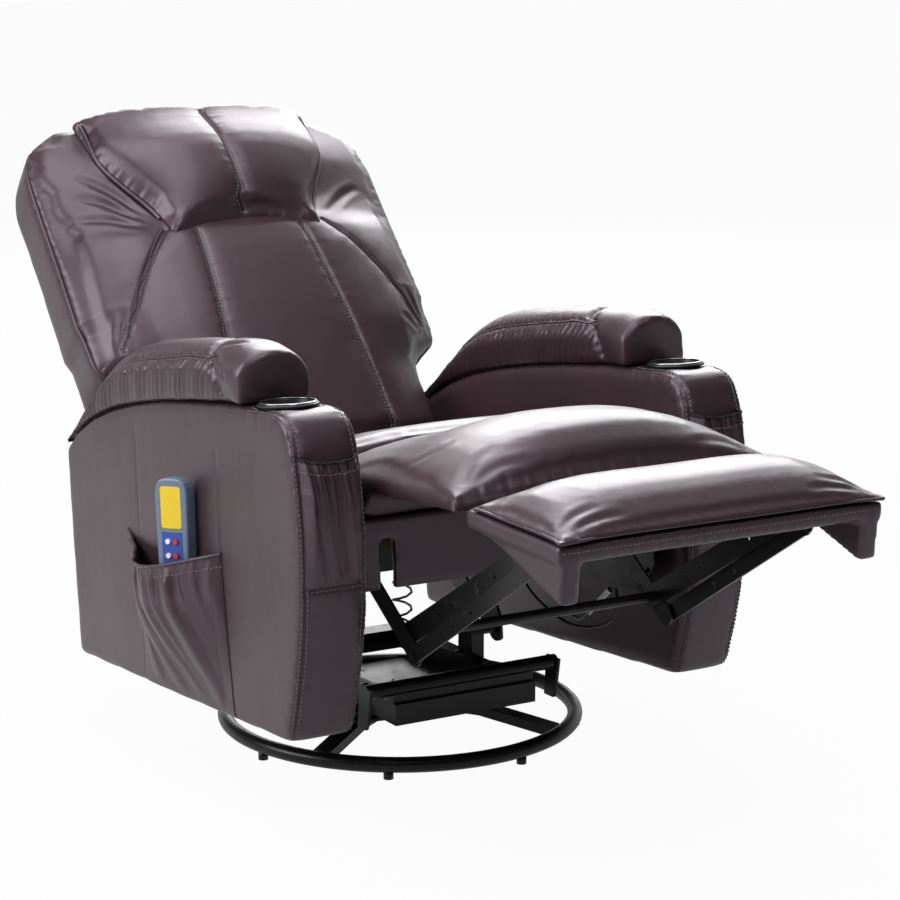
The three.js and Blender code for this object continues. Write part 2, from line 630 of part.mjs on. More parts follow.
// Two lift arms welded to the tube that joins them at the knees.
function liftFrame() {
  const parts = [barX(kneeTube, -armX1, armX1, knee, 20)];
  for (const s of [1, -1]) {
    const sheet = linkOutline(shoulder, elbow, link.eye, [[shoulder, link.pin + 1 + gap]]);
    const x = s > 0 ? [armX1 - link.sheet, armX1] : [-armX1, link.sheet - armX1];
    parts.push(plate(sheet, ...x));
    parts.push(barX(link.pin, s * (armX1 - 1), s * (barX1 + 1), elbow, 12));
    parts.push(rivet(s * (barX1 + gap), s * (barX1 + gap + link.headHeight), elbow));
  }
  return join(...parts);
}
add(bodyFrame, 'lift_frame', liftFrame(), 'steel');

// The broad front link, with an eye round the knee tube.
function frontLink() {
  const sheet = linkOutline(knee, toe, link.half + 2, [
    [knee, kneeTube + link.slack], [toe, link.pin + gap],
    ...[0.3, 0.42, 0.78].map((t) => [[mix(knee[0], toe[0], t), mix(knee[1], toe[1], t)], 3.5]),
  ]);
  return plate(sheet, frontX1 - link.sheet, frontX1);
}
pair(bodyFrame, 'front_link', frontLink(), 'steel');

// The control bar beside it; its upper end lies against the bracket, where the real bar is riveted.
function controlBar() {
  const sheet = linkOutline(elbow, heel, link.half - 2, [
    [elbow, link.pin + gap],
    ...[0.35, 0.5].map((t) => [[mix(elbow[0], heel[0], t), mix(elbow[1], heel[1], t)], 3.5]),
  ]);
  return join(plate(sheet, barX1 - link.sheet, barX1), rivet(barX1 - 1, barX1 + link.headHeight, heel));
}
pair(bodyFrame, 'control_bar', controlBar(), 'steel');

// Side plates of the mechanism, on the seat frame's rails, with the pivot studs of the links and the back.
const plateOuter = innerRailX - gap;
function sidePlate() {
  const sheet = new THREE.Shape();
  sheet.moveTo(fascia.y + 3, 300);
  sheet.lineTo(fascia.y + 3, frame.railBottomZ - 0.6);
  sheet.lineTo(frame.frontY + frame.railDepth + 1, frame.railBottomZ - 0.6);
  sheet.lineTo(frame.frontY + frame.railDepth + 5, 421);
  sheet.lineTo(158, 421);
  sheet.lineTo(163, frame.railBottomZ - 0.6);
  sheet.lineTo(196, frame.railBottomZ - 0.6);
  sheet.absarc(back.hingeY, back.hingeZ, back.eye + 4, PI * 0.9, -PI * 0.3, true);
  sheet.lineTo(crossRail.y + crossRail.depth + 60, 352);
  sheet.lineTo(crossRail.y - 8, 352);
  sheet.lineTo(-120, 250);
  sheet.lineTo(fascia.y + 30, 250);
  sheet.closePath();
  for (const [y, z] of [[-320, 275], [-330, 360], [-280, 300], [-150, 330], [40, 390]]) {
    drill(sheet, y, z, 5);
  }
  const inner = plateOuter - plateSheet;
  return join(
    plate(sheet, inner, plateOuter),
    barX(link.pin + 1, armX1 - link.sheet - 1, inner + 1, shoulder, 16),
    barX(link.eye - 4, armX1 + 0.6, inner + 1, shoulder, 16),
    barX(back.pin, backBoard.half + 2, inner + 1, [back.hingeY, back.hingeZ], 16),
  );
}
pair(bodyFrame, 'side_plate', sidePlate(), 'steel');

// ---------------------------------------------------------------- release cable, inside the left side plate
// It leaves the side plate, passes through a bright sleeve, hangs in a loop and ends at the cross rail.
const cableRun = [
  [plateOuter - plateSheet - gap, -95, 392], [250, -95, 392], [236, -97, 391], [214, -110, 380], [203, -140, 330],
  [203, -180, 250], [203, -218, 201], [201, -250, 204], [200, -274, 222], [200, -297, 239.5], [200, -320, 257],
  [199.5, -334, 267.5], [199, -345, 268], [198, -351, 256], [198, -349, 236], [197, -335, 215], [196, -305, 201.5],
  [196, -262, 192], [196, -215, 190], [196, -160, 201], [196, -100, 226], [196, -50, 268], [196, -10, 300],
  [196, 20, 321], [196, 42, 326], [196, crossRail.y - gap, 326],
];
const sleeve = { from: [200, -266, 216], to: [200, -328, 263], bore: 3.5, radius: 5 };

// A round cord along a curve, in flat-sided pieces.
function cord(points, radius, pieces, sides) {
  const curve = new THREE.CatmullRomCurve3(points.map((p) => new THREE.Vector3(...p)));
  const frames = curve.computeFrenetFrames(pieces, false);
  const position = [];
  const index = [];
  for (let i = 0; i <= pieces; i++) {
    const middle = curve.getPointAt(i / pieces);
    for (let k = 0; k < sides; k++) {
      const turn = (k / sides) * 2 * PI;
      const p = middle.clone();
      p.addScaledVector(frames.normals[i], radius * cos(turn));
      p.addScaledVector(frames.binormals[i], radius * sin(turn));
      position.push(p.x, p.y, p.z);
    }
  }
  for (let i = 0; i < pieces; i++) {
    for (let k = 0; k < sides; k++) {
      const [a, b] = [i * sides + k, i * sides + ((k + 1) % sides)];
      index.push(a, b, b + sides, a, b + sides, a + sides);
    }
  }
  for (let k = 1; k < sides - 1; k++) {
    index.push(0, k + 1, k);
    index.push(pieces * sides, pieces * sides + k, pieces * sides + k + 1);
  }
  const geometry = new THREE.BufferGeometry();
  geometry.setAttribute('position', new THREE.Float32BufferAttribute(position, 3));
  geometry.setIndex(index);
  return geometry;
}
add(bodyFrame, 'release_cable', cord(cableRun, 2.4, 48, 6), 'plastic');

function cableSleeve() {
  const [from, to] = [new THREE.Vector3(...sleeve.from), new THREE.Vector3(...sleeve.to)];
  const long = from.distanceTo(to) / 2;
  const { bore, radius } = sleeve;
  const profile = [[bore, -long], [radius, -long], [radius, long], [bore, long], [bore, -long]];
  const geometry = new THREE.LatheGeometry(profile.map(([x, y]) => new THREE.Vector2(x, y)), 10);
  const along = to.clone().sub(from).normalize();
  geometry.applyQuaternion(new THREE.Quaternion().setFromUnitVectors(new THREE.Vector3(0, 1, 0), along));
  const middle = from.add(to).multiplyScalar(0.5);
  geometry.translate(middle.x, middle.y, middle.z);
  return geometry;
}
add(bodyFrame, 'cable_sleeve', cableSleeve(), 'chrome');

// ---------------------------------------------------------------- footrest
const rest = new THREE.Group(); // lies along the board, which slopes down to the front
rest.position.set(0, footrest.rearY, footrest.rearZ);
rest.rotation.x = footrest.tilt;
bodyFrame.add(rest);

// An upholstered board with a three-cornered wing at each end, which hides the links when it is folded.
function footBoard() {
  const { half, length, board, wing, wingDrop } = footrest;
  const parts = [box(-half, half, -length, 0, 0, board)];
  for (const s of [1, -1]) {
    const corner = outline([[-length, 4], [-length + 4, -wingDrop], [-length + 14, -wingDrop + 2], [-8, 4]]);
    const x = s > 0 ? [half - wing - 7, half - 7] : [7 - half, 7 + wing - half];
    parts.push(plate(corner, ...x));
  }
  return join(...parts);
}
add(rest, 'footrest_board', footBoard(), 'leather');

function footCushion() {
  const { half, length, board } = footrest;
  const low = board + gap;
  return pad(12, 9, (u, v, upper) => {
    const reach = half + footPad.overhang - 7 * dome(v, 2.2);
    const x = mix(-reach, reach, u);
    const y = mix(-length - footPad.overhang, -2, v) + 4 * dome(u) * (1 - v);
    const across = 1 - abs(2 * u - 1) ** 5;
    const along = 1 - abs(2 * v - 1) ** 3.2;
    const rise = footPad.thick - footPad.edge + footPad.crown * dome(v, 2);
    const top = low + footPad.edge + rise * across * along;
    return [x, y, upper ? top : low];
  });
}
add(rest, 'footrest_pad', footCushion(), 'leather');

// Bracket under the board: a flange screwed to the board, and a web that carries the two pivots.
function footBracket() {
  const slope = Math.tan(footrest.tilt);
  const underside = (y) => footrest.rearZ + (y - footrest.rearY) * slope - gap - 0.1;
  const [front, rear] = [heel[0] - 22, toe[0] + 30];
  const web = new THREE.Shape();
  web.moveTo(front, underside(front));
  web.absarc(heel[0], heel[1], 16, PI * 1.15, PI * 1.5, false);
  web.absarc(toe[0], toe[1], 18, PI * 1.5, PI * 1.9, false);
  web.lineTo(rear, underside(rear));
  web.closePath();
  const x0 = armX1 - link.sheet;
  const flange = box(x0 - 26, x0 + 2, -1, rear - front, -link.sheet, 0);
  flange.rotateX(footrest.tilt);
  flange.translate(0, front, underside(front));
  return join(
    plate(web, x0, armX1), flange,
    barX(link.pin, frontX1 - link.sheet - 1, x0 + 1, toe, 12),
    rivet(frontX1 - link.sheet - gap - link.headHeight, frontX1 - link.sheet - gap, toe),
  );
}
pair(bodyFrame, 'footrest_bracket', footBracket(), 'steel');

// ---------------------------------------------------------------- back, reclines on the hinge studs
const backGroup = new THREE.Group(); // y runs up the back, z out of its front
backGroup.position.set(0, back.hingeY, back.hingeZ);
backGroup.rotation.x = back.angle;
bodyFrame.add(backGroup);

// Half width of the back cushion: narrow between the arms, wide above them, round at the shoulders.
function backHalf(s) {
  const flare = smooth((s - backPad.flare + 45) / 60);
  const waist = mix(backPad.neck, backPad.wide, flare) - 3 * dome(clamp((s - 300) / 400));
  const t = clamp(1 - (backPad.high - s) / backPad.shoulder);
  return waist - 112 * (1 - Math.sqrt(1 - t ** 2.4 * 0.96));
}
// Height of the cushion's front at a place, with its sewn channels.
function backFront(x, s) {
  const rise = 40 + 14 * sin(PI * clamp((s - 20) / 560));
  const fall = 36 * smooth((s - (pillow.low - 54)) / 90) + 44 * smooth((s - (backPad.high - 135)) / 150);
  const width = backHalf(s);
  const across = 1 - 0.92 * abs(x / width) ** 3.2;
  const innerSeam = 145 - 0.1 * s; // the inner seams lean in upwards
  const outerSeam = 304 - (s - 290) * 0.72; // the outer seams lean in to the headrest
  let height = (rise - fall + 45) * across - 45;
  if (s < 440) height -= 6 * groove(abs(x) - innerSeam, 9);
  if (s > 290 && s < 490) height -= 6 * groove(abs(x) - outerSeam, 9);
  return height - 18 * (1 - smooth((s - backPad.low) / 40));
}
function backCushion() {
  return pad(16, Math.round(backPad.high / 43), (u, v, upper) => {
    const s = mix(backPad.low + backPad.lowCorner * abs(2 * u - 1) ** 4, backPad.high, v);
    const half = backHalf(s) - (upper ? 0 : 12);
    const x = mix(-half, half, u);
    return [x, s, upper ? Math.max(backFront(x, s), backPad.rear + 26) : backPad.rear];
  });
}
add(backGroup, 'back_cushion', backCushion(), 'leather');

// Headrest pillow over the top of the back: it widens upwards and swells over its lower edge.
function headPillow() {
  return pad(14, 10, (u, v, upper) => {
    const s = mix(pillow.low - pillow.corner * abs(2 * u - 1) ** 2, pillow.high, v);
    const half = mix(pillow.lowHalf, pillow.highHalf, smooth(v / 0.7));
    const x = mix(-half, half, u);
    const seatOn = backFront(x, s) + 4.4;
    const across = 1 - abs(2 * u - 1) ** 3.4;
    const along = (1 - (1 - clamp(v / 0.3)) ** 2.4) * (1 - 0.2 * smooth((v - 0.4) / 0.4));
    const thick = 6 + (pillow.thick - 4 * groove(x, 6)) * across * along;
    return [x, s, seatOn + (upper ? thick : 0)];
  });
}
add(backGroup, 'head_pillow', headPillow(), 'leather');

const boardFront = backPad.rear - gap;
const boardRear = boardFront - backBoard.sheet;
const motorPlaces = [['upper', backPad.high - 165], ['lower', 330]];

function backPanel() {
  const board = roundedRectangle(backBoard.half, backBoard.low, backBoard.high, 60);
  return flat(board, boardRear, boardFront, 4);
}
add(backGroup, 'back_board', backPanel(), 'timber');

// Upholstered rear shell: a shallow tray over the back board, open to the front and below, narrower
// between the arms.
function rearShell() {
  const front = backPad.rear - gap;
  const rear = front - shell.depth - backBoard.sheet;
  const { half, waist, low, high, wall, corner } = shell;
  const tray = (inset) => {
    const [h, w, r] = [half - inset, waist - inset, corner - inset];
    const edge = new THREE.Shape();
    const bottom = inset ? low - 5 : low;
    edge.moveTo(-w, bottom);
    edge.lineTo(w, bottom);
    edge.lineTo(w, backPad.flare - 20);
    edge.lineTo(h, backPad.flare + 20);
    edge.absarc(h - r, high - inset - r, r, 0, PI / 2, false);
    edge.absarc(r - h, high - inset - r, r, PI / 2, PI, false);
    edge.lineTo(-h, backPad.flare + 20);
    edge.lineTo(-w, backPad.flare - 20);
    edge.closePath();
    return edge;
  };
  return cut(flat(tray(0), rear, front), flat(tray(wall), rear + wall, front + 5));
}
add(backGroup, 'rear_shell', rearShell(), 'leather');

// Vibration motors: a round can with two fixing lugs.
function vibrationMotor(z0) {
  const can = barZ(motor.radius, z0, z0 + motor.height, 0, 0, 20, motor.radius - 3);
  const lugs = box(-motor.lug, motor.lug, -9, 9, z0, z0 + 3);
  return join(can, lugs);
}
for (const [level, s] of motorPlaces) {
  for (const [side, sx] of [['left', 1], ['right', -1]]) {
    const can = vibrationMotor(0);
    can.rotateX(PI);
    can.translate(sx * 195, s, boardRear - gap);
    add(backGroup, `back_motor_${level}_${side}`, can, 'plastic');
  }
}
for (const [side, sx] of [['left', 1], ['right', -1]]) {
  const [z0, z1] = [seat.deckZ - 12, seat.deckZ + seat.deck];
  const can = barZ(motor.radius, z0, z1, sx * motor.seatX, motor.seatY, 20);
  add(bodyFrame, `seat_motor_${side}`, can, 'plastic');
}

// Hinge bracket of the back: an eye on the stud, and an arm that turns up the edge of the back board.
function backBracket() {
  const [front, rear] = [boardFront - 1, boardRear - 20];
  const sheet = new THREE.Shape();
  sheet.absarc(0, 0, back.eye, 0, PI, false);
  sheet.lineTo(-back.eye, rear + 28);
  sheet.lineTo(-4, rear);
  sheet.lineTo(250, rear);
  sheet.lineTo(250, front);
  sheet.lineTo(34, front);
  sheet.lineTo(back.eye, front + 20);
  sheet.closePath();
  drill(sheet, 0, 0, back.pin + gap);
  const x0 = backBoard.half + gap;
  return plate(sheet, x0, x0 + 5);
}
pair(backGroup, 'back_bracket', backBracket(), 'steel');

// ---------------------------------------------------------------- power box under the seat
function powerBox() {
  const shellBox = roundedRectangle(62, 0, 84, 8);
  const box0 = flat(shellBox, 258, crossRail.bottom - gap);
  box0.translate(0, crossRail.y + 6, 0);
  const socket = barX(8, 55, 70, [crossRail.y + 40, 276], 16);
  return join(box0, socket);
}
add(bodyFrame, 'power_box', powerBox(), 'plastic');

// ---------------------------------------------------------------- release handle, outside the left arm
const handle = { y: -20, z: 392, hub: 17, reach: 118, thick: 9, standOff: 14 };
function releaseHandle() {
  const x0 = armHalf + gap;
  const hub = barX(handle.hub, x0, x0 + handle.standOff + handle.thick, [handle.y, handle.z], 20);
  const lever = linkOutline([handle.y, handle.z], [handle.y - handle.reach, handle.z + 14], 13);
  return join(hub, plate(lever, x0 + handle.standOff, x0 + handle.standOff + handle.thick, { bevel: 2 }));
}
add(bodyFrame, 'release_handle', releaseHandle(), 'plastic');

// ---------------------------------------------------------------- hand control in the side pocket
const control = new THREE.Group(); // x across its face, y up, z out of its face
control.position.set(remote.x, remote.y, remote.topZ - remote.height / 2);
control.rotation.set(0, 0, 0);
const facing = new THREE.Matrix4().makeBasis(
  new THREE.Vector3(sin(remote.turn), -cos(remote.turn), 0), new THREE.Vector3(0, 0, 1),
  new THREE.Vector3(-cos(remote.turn), -sin(remote.turn), 0));
control.quaternion.setFromRotationMatrix(facing);
bodyFrame.add(control);

const face = remote.thick / 2;
const panel = { half: 19, low: 8, high: 74, recess: 1.5 };
const keys = { half: 19, low: -62, high: 2, recess: 1.5 };
const keyPlaces = [[-7, -12, 'white'], [7, -12, 'red'], [-7, -34, 'white'], [7, -34, 'red']];
const key = { radius: 4.2, hole: 4.8, height: 3.4 };

function remoteCase() {
  const half = remote.width / 2;
  const up = remote.height / 2;
  const caseShape = new THREE.Shape();
  caseShape.moveTo(-half + 8, -up);
  caseShape.lineTo(half - 8, -up);
  caseShape.quadraticCurveTo(half - 2, -up, half - 2, -up + 12);
  caseShape.lineTo(half, up - 26);
  caseShape.quadraticCurveTo(half, up, half - 22, up);
  caseShape.lineTo(-half + 22, up);
  caseShape.quadraticCurveTo(-half, up, -half, up - 26);
  caseShape.lineTo(-half + 2, -up + 12);
  caseShape.quadraticCurveTo(-half + 2, -up, -half + 8, -up);
  const whole = new THREE.ExtrudeGeometry(caseShape, {
    depth: remote.thick - 6, curveSegments: 4, bevelThickness: 3, bevelSize: 3, bevelOffset: -3, bevelSegments: 2,
  });
  whole.translate(0, 0, 3 - face);
  const pocket = (p) => box(-p.half, p.half, p.low, p.high, face - p.recess, face + 5);
  const wells = keyPlaces.map(([x, y]) => barZ(key.hole, face - 9, face + 1, x, y, 12));
  return cut(whole, pocket(panel), pocket(keys), ...wells);
}
add(control, 'remote_case', remoteCase(), 'casing');

function insetPanel(p, wells) {
  const sheet = flat(roundedRectangle(p.half - gap, p.low + gap, p.high - gap, 4), face - p.recess + gap, face + 0.4);
  return wells.length ? cut(sheet, ...wells) : sheet;
}
add(control, 'remote_display', insetPanel(panel, []), 'yellow');
add(control, 'remote_keypad', insetPanel(keys,
  keyPlaces.map(([x, y]) => barZ(key.hole, face - 4, face + 3, x, y, 16))), 'blue');
keyPlaces.forEach(([x, y, colour], i) => {
  add(control, `remote_button_${i + 1}`, barZ(key.radius, face - 5, face + key.height, x, y, 16), colour);
});

// ---------------------------------------------------------------- the origin is under the middle of the chair
const extent = new THREE.Box3().setFromObject(chair, true);
chair.position.set(-(extent.min.x + extent.max.x) / 2, -(extent.min.y + extent.max.y) / 2, -extent.min.z);

export default chair;
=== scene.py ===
# %% [markdown]
# # A swivel rocker recliner with massage motors
# The CAD model gives the chair's mechanism, frame and sizes. This lesson dresses it: leather cushions that
# are stuffed and sewn, gathered pockets, piping and stitches, painted steel, plastic, and a studio to see
# it in.

# %% Load the frame
import json
import math
import bpy
import bmesh
import numpy as np
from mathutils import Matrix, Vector
from mathutils.bvhtree import BVHTree


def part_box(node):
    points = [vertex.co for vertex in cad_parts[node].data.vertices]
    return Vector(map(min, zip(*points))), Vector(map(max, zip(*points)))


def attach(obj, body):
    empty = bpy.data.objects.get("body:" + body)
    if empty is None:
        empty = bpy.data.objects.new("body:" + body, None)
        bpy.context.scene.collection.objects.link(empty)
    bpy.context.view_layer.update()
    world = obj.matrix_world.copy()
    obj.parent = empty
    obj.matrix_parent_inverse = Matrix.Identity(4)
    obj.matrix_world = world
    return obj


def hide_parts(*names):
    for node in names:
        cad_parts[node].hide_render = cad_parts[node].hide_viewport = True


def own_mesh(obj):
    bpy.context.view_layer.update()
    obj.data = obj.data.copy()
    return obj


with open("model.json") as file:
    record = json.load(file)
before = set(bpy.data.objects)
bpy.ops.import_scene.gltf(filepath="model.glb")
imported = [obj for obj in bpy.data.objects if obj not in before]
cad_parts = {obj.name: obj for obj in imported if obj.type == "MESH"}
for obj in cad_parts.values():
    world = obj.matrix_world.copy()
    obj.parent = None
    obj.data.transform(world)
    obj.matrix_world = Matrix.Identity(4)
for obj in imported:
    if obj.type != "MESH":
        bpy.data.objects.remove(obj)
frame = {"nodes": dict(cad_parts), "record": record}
nodes = frame["nodes"]
scene = bpy.context.scene
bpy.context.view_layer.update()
print("CAD nodes:", len(nodes))

# %% [markdown]
# The body of the chair is drawn upright but stands rocked back by four degrees on its springs, and the
# whole model was shifted so that its middle is at the origin. Small functions change the drawing's
# millimetres into the scene's metres: one for the rocked body, one for what stands level, and one for faces
# that lean, such as the back's.

# %% Drawing millimetres to scene metres
ROCK = math.radians(4)
PIVOT_Z = 0.150
DRAWN_FLOOR = 0.012
BACK_HINGE = (235.0, 420.0)
BACK_ANGLE = math.radians(52.4)
low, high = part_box("base_ring")
CENTRE = ((low[0] + high[0]) / 2, (low[1] + high[1]) / 2)


def rolled(y, z, angle):
    """A place in the side view, turned about the origin from y towards z."""
    c, s = math.cos(angle), math.sin(angle)
    return y * c - z * s, y * s + z * c


def place(p):
    p = np.asarray(p, float) / 1000
    y, z = rolled(p[..., 1], p[..., 2] - PIVOT_Z, -ROCK)
    return np.stack([p[..., 0] + CENTRE[0], y + CENTRE[1], z + PIVOT_Z - DRAWN_FLOOR], -1)


def level(p):
    """The same for the pieces under the rocking pivot, which stand level."""
    p = np.asarray(p, float) / 1000
    return np.stack([p[..., 0] + CENTRE[0], p[..., 1] + CENTRE[1], p[..., 2] - DRAWN_FLOOR], -1)


def tilted_place(p, at, angle):
    """The same for what leans: p is measured from the point at, along and out of the leaning face."""
    p = np.asarray(p, float)
    y, z = rolled(p[..., 1], p[..., 2], angle)
    return place(np.stack([p[..., 0], at[0] + y, at[1] + z], -1))


def back_place(p):
    return tilted_place(p, BACK_HINGE, BACK_ANGLE)


print("swivel axis at", [round(v, 4) for v in CENTRE])

# %% [markdown]
# ## Finishes
# A material is a small calculation that Blender runs at every point of a surface. Written node by node it
# is hard to read, so a thin wrapper lets the sockets be added, multiplied and compared like numbers.


# %% Sockets that can be calculated with
class Value:
    def __init__(self, tree, socket):
        self.tree = tree
        self.socket = socket

    def math(self, operation, *others, clamp=False):
        node = self.tree.nodes.new("ShaderNodeMath")
        node.operation = operation
        node.use_clamp = clamp
        for slot, value in zip(node.inputs, (self, *others)):
            feed(self.tree, slot, value)
        return Value(self.tree, node.outputs[0])

    def __add__(self, other):
        return self.math("ADD", other)

    def __sub__(self, other):
        return self.math("SUBTRACT", other)

    def __mul__(self, other):
        return self.math("MULTIPLY", other)

    def __rsub__(self, other):
        return (self * -1.0) + other

    __radd__ = __add__
    __rmul__ = __mul__

    def clamped(self):
        return self.math("ADD", 0.0, clamp=True)


def feed(tree, slot, value):
    if isinstance(value, Value):
        tree.links.new(value.socket, slot)
    else:
        slot.default_value = value


class Nodes:
    """Adds nodes to one tree: a type, its settings, and the values or links of its sockets."""

    def __init__(self, tree):
        self.tree = tree

    def node(self, kind, output=0, settings=None, **inputs):
        node = self.tree.nodes.new(kind)
        for key, value in (settings or {}).items():
            setattr(node, key, value)
        for key, value in inputs.items():
            feed(self.tree, node.inputs[key.replace("_", " ")], value)
        return Value(self.tree, node.outputs[output])

    def axes(self, vector):
        parts = self.tree.nodes.new("ShaderNodeSeparateXYZ")
        feed(self.tree, parts.inputs[0], vector)
        return [Value(self.tree, out) for out in parts.outputs]


class Finish(Nodes):
    """A material with a Principled shader; constants sit on its own sockets."""

    def __init__(self, name, colour, roughness, metallic=0.0, **sockets):
        self.material = bpy.data.materials.new(name)
        self.material.use_nodes = True
        super().__init__(self.material.node_tree)
        self.shader = next(n for n in self.tree.nodes if n.type == "BSDF_PRINCIPLED")
        self.set("Base Color", (*colour, 1.0))
        self.set("Roughness", roughness)
        self.set("Metallic", metallic)
        for socket, value in sockets.items():
            self.set(socket.replace("_", " "), value)
        self.material.diffuse_color = (*colour, 1.0)
        self.where = self.node("ShaderNodeTexCoord", output="Object")

    def set(self, socket, value):
        feed(self.tree, self.shader.inputs[socket], value)

    def stretched(self, x, y, z):
        return self.node("ShaderNodeMapping", Vector=self.where, Scale=(x, y, z))

    def noise(self, scale, detail=2.0, rough=0.5, where=None):
        return self.node("ShaderNodeTexNoise", Vector=where or self.where, Scale=scale, Detail=detail,
                         Roughness=rough)

    def cell_edges(self, scale):
        return self.node("ShaderNodeTexVoronoi", output="Distance", settings={"feature": "DISTANCE_TO_EDGE"},
                         Vector=self.where, Scale=scale)

    def mixed(self, factor, first, second):
        node = self.tree.nodes.new("ShaderNodeMix")
        node.data_type = "RGBA"
        feed(self.tree, node.inputs[0], factor)
        feed(self.tree, node.inputs[6], (*first, 1.0))
        feed(self.tree, node.inputs[7], (*second, 1.0))
        return Value(self.tree, node.outputs[2])

    def relief(self, height, strength, distance):
        bump = self.node("ShaderNodeBump", Height=height, Strength=strength, Distance=distance)
        self.set("Normal", bump)


# %% [markdown]
# The cover is a dark brown coated leather with a hint of plum. Close to, it has a fine pebbled grain; from
# a step away one sees soft creases and a satin sheen that changes a little from place to place. Voronoi
# cells give the pebbles, stretched noise gives the creases, and both go through one bump.


# %% Leather
def leather(name, colour, dark, crease=1.0):
    f = Finish(name, colour, 0.40, Coat_Weight=0.22, Coat_Roughness=0.26, Specular_IOR_Level=0.6,
               Specular_Tint=(1.0, 0.87, 1.0, 1.0))
    patches = f.noise(5.0, 3.0)
    f.set("Base Color", f.mixed(((patches - 0.35) * 2.2).clamped(), colour, dark))
    pores = (f.cell_edges(520.0) * 5.0).clamped()
    creases = f.noise(24.0, 3.0, 0.55, f.stretched(1.0, 1.0, 0.45))
    swell = f.noise(8.0, 2.0)
    f.set("Roughness", 0.29 + patches * 0.14 + (1.0 - pores) * 0.08)
    f.relief(pores * 0.08 + creases * (0.8 * crease) + swell * (1.8 * crease), 0.45, 0.0022)
    return f.material


cover = leather("cover leather", (0.040, 0.020, 0.025), (0.027, 0.013, 0.016))
tight_cover = leather("stretched cover leather", (0.041, 0.022, 0.027), (0.030, 0.016, 0.019), 0.45)
piping_leather = leather("piping leather", (0.038, 0.020, 0.027), (0.027, 0.014, 0.019), 0.3)
# Near-black leather for the thin tube laid along each seam: painted shade where the leather is drawn in.
seam_shadow = leather("leather drawn into a seam", (0.012, 0.008, 0.009), (0.008, 0.005, 0.006), 0.2)

# %% [markdown]
# Thread, the woven lining under the chair, and the black elastic in the pocket rims are all cloth: crossed
# waves along two directions make the weave, and a rough shader keeps them dull.


# %% Cloth
def woven(name, colour, light, pitch):
    f = Finish(name, colour, 0.9, Specular_IOR_Level=0.25)
    turn = math.tau / pitch
    x, y, z = f.axes(f.where)
    weave = ((x * turn).math("SINE") * ((y + z) * turn).math("SINE")) * 0.5 + 0.5
    f.set("Base Color", f.mixed(weave, colour, light))
    f.relief(weave + f.noise(120.0) * 0.6, 0.6, 0.0005)
    return f.material


lining = woven("lining cloth", (0.012, 0.010, 0.012), (0.026, 0.022, 0.026), 0.0024)
elastic = woven("elastic band", (0.010, 0.008, 0.010), (0.03, 0.026, 0.030), 0.0016)
thread = woven("seam thread", (0.16, 0.125, 0.13), (0.28, 0.22, 0.23), 0.0008)

# %% [markdown]
# The mechanism is pressed steel in black gloss paint. Real paint is never even: it pools in a faint orange
# peel and it is thinner and scuffed where parts rub, so noise moves both the roughness and the surface a
# little.


# %% Metal, plastic and wood
def painted(name, colour, roughness):
    f = Finish(name, colour, roughness, Coat_Weight=0.10, Coat_Roughness=0.12, Specular_IOR_Level=0.30)
    scuff = ((f.noise(60.0, 6.0, 0.65) - 0.58) * 6.0).clamped()
    f.set("Base Color", f.mixed(scuff * 0.5, colour, (0.05, 0.048, 0.047)))
    f.set("Roughness", roughness + scuff * 0.25 + f.noise(14.0) * 0.08)
    f.relief(f.noise(420.0, 2.0), 0.12, 0.0006)
    return f.material


def bare_metal(name, colour, roughness, streak):
    f = Finish(name, colour, roughness, 1.0)
    lines = f.noise(160.0, 3.0, 0.6, f.stretched(1.0, 1.0, 0.08))
    f.set("Roughness", roughness + lines * streak)
    f.relief(lines, 0.08, 0.0004)
    return f.material


def moulded(name, colour, roughness):
    f = Finish(name, colour, roughness)
    texture = f.noise(300.0, 2.0)
    f.set("Roughness", roughness - 0.06 + texture * 0.12)
    f.relief(texture, 0.18, 0.0004)
    return f.material


def timber(colour=(0.12, 0.075, 0.04), dark=(0.06, 0.036, 0.02)):
    f = Finish("frame timber", colour, 0.75)
    rings = f.noise(22.0, 4.0, 0.6, f.stretched(0.12, 1.0, 1.0))
    f.set("Base Color", f.mixed(((rings - 0.3) * 2.0).clamped(), colour, dark))
    f.relief(rings, 0.3, 0.0008)
    return f.material


paint = painted("black paint", (0.0065, 0.0062, 0.0066), 0.28)
finish_of = {
    "painted_steel": paint,
    "spring_steel": bare_metal("spring steel", (0.26, 0.26, 0.27), 0.30, 0.2),
    "bright_ring": bare_metal("bright ring", (0.34, 0.34, 0.36), 0.20, 0.08),
    "black_plastic": moulded("black plastic", (0.010, 0.010, 0.011), 0.38),
    "remote_plastic": moulded("control case", (0.135, 0.185, 0.27), 0.42),
    "yellow_plastic": moulded("yellow panel", (0.80, 0.56, 0.02), 0.35),
    "blue_plastic": moulded("blue keypad", (0.022, 0.065, 0.34), 0.45),
    "white_plastic": moulded("white key", (0.80, 0.80, 0.81), 0.35),
    "red_plastic": moulded("red key", (0.58, 0.018, 0.018), 0.35),
    "timber": timber(), "upholstery": cover, "lining_cloth": lining,
}


def finished(mesh, *materials):
    mesh.materials.clear()
    for material in materials:
        mesh.materials.append(material)


for part in frame["record"]["subparts"]:
    finished(nodes[part["node"]].data, finish_of[part["material_slot"]])
print("materials:", len(bpy.data.materials))

# %% [markdown]
# ## Stuffing a cushion
# A cushion is a cover sewn to shape and filled. Starting from the CAD form, the mesh is rebuilt in even
# squares and relaxed until its corners are round, drawn in a little, and blown up as cloth with some air
# pressure, so that it swells between its edges. Each point may rise only so far, and slide hardly at all,
# or the corners would be drawn into points. Seams come afterwards, because the rebuilt mesh has none.


# %% Rebuild and stuff
def linked(name, data):
    obj = bpy.data.objects.new(name, data)
    scene.collection.objects.link(obj)
    return obj


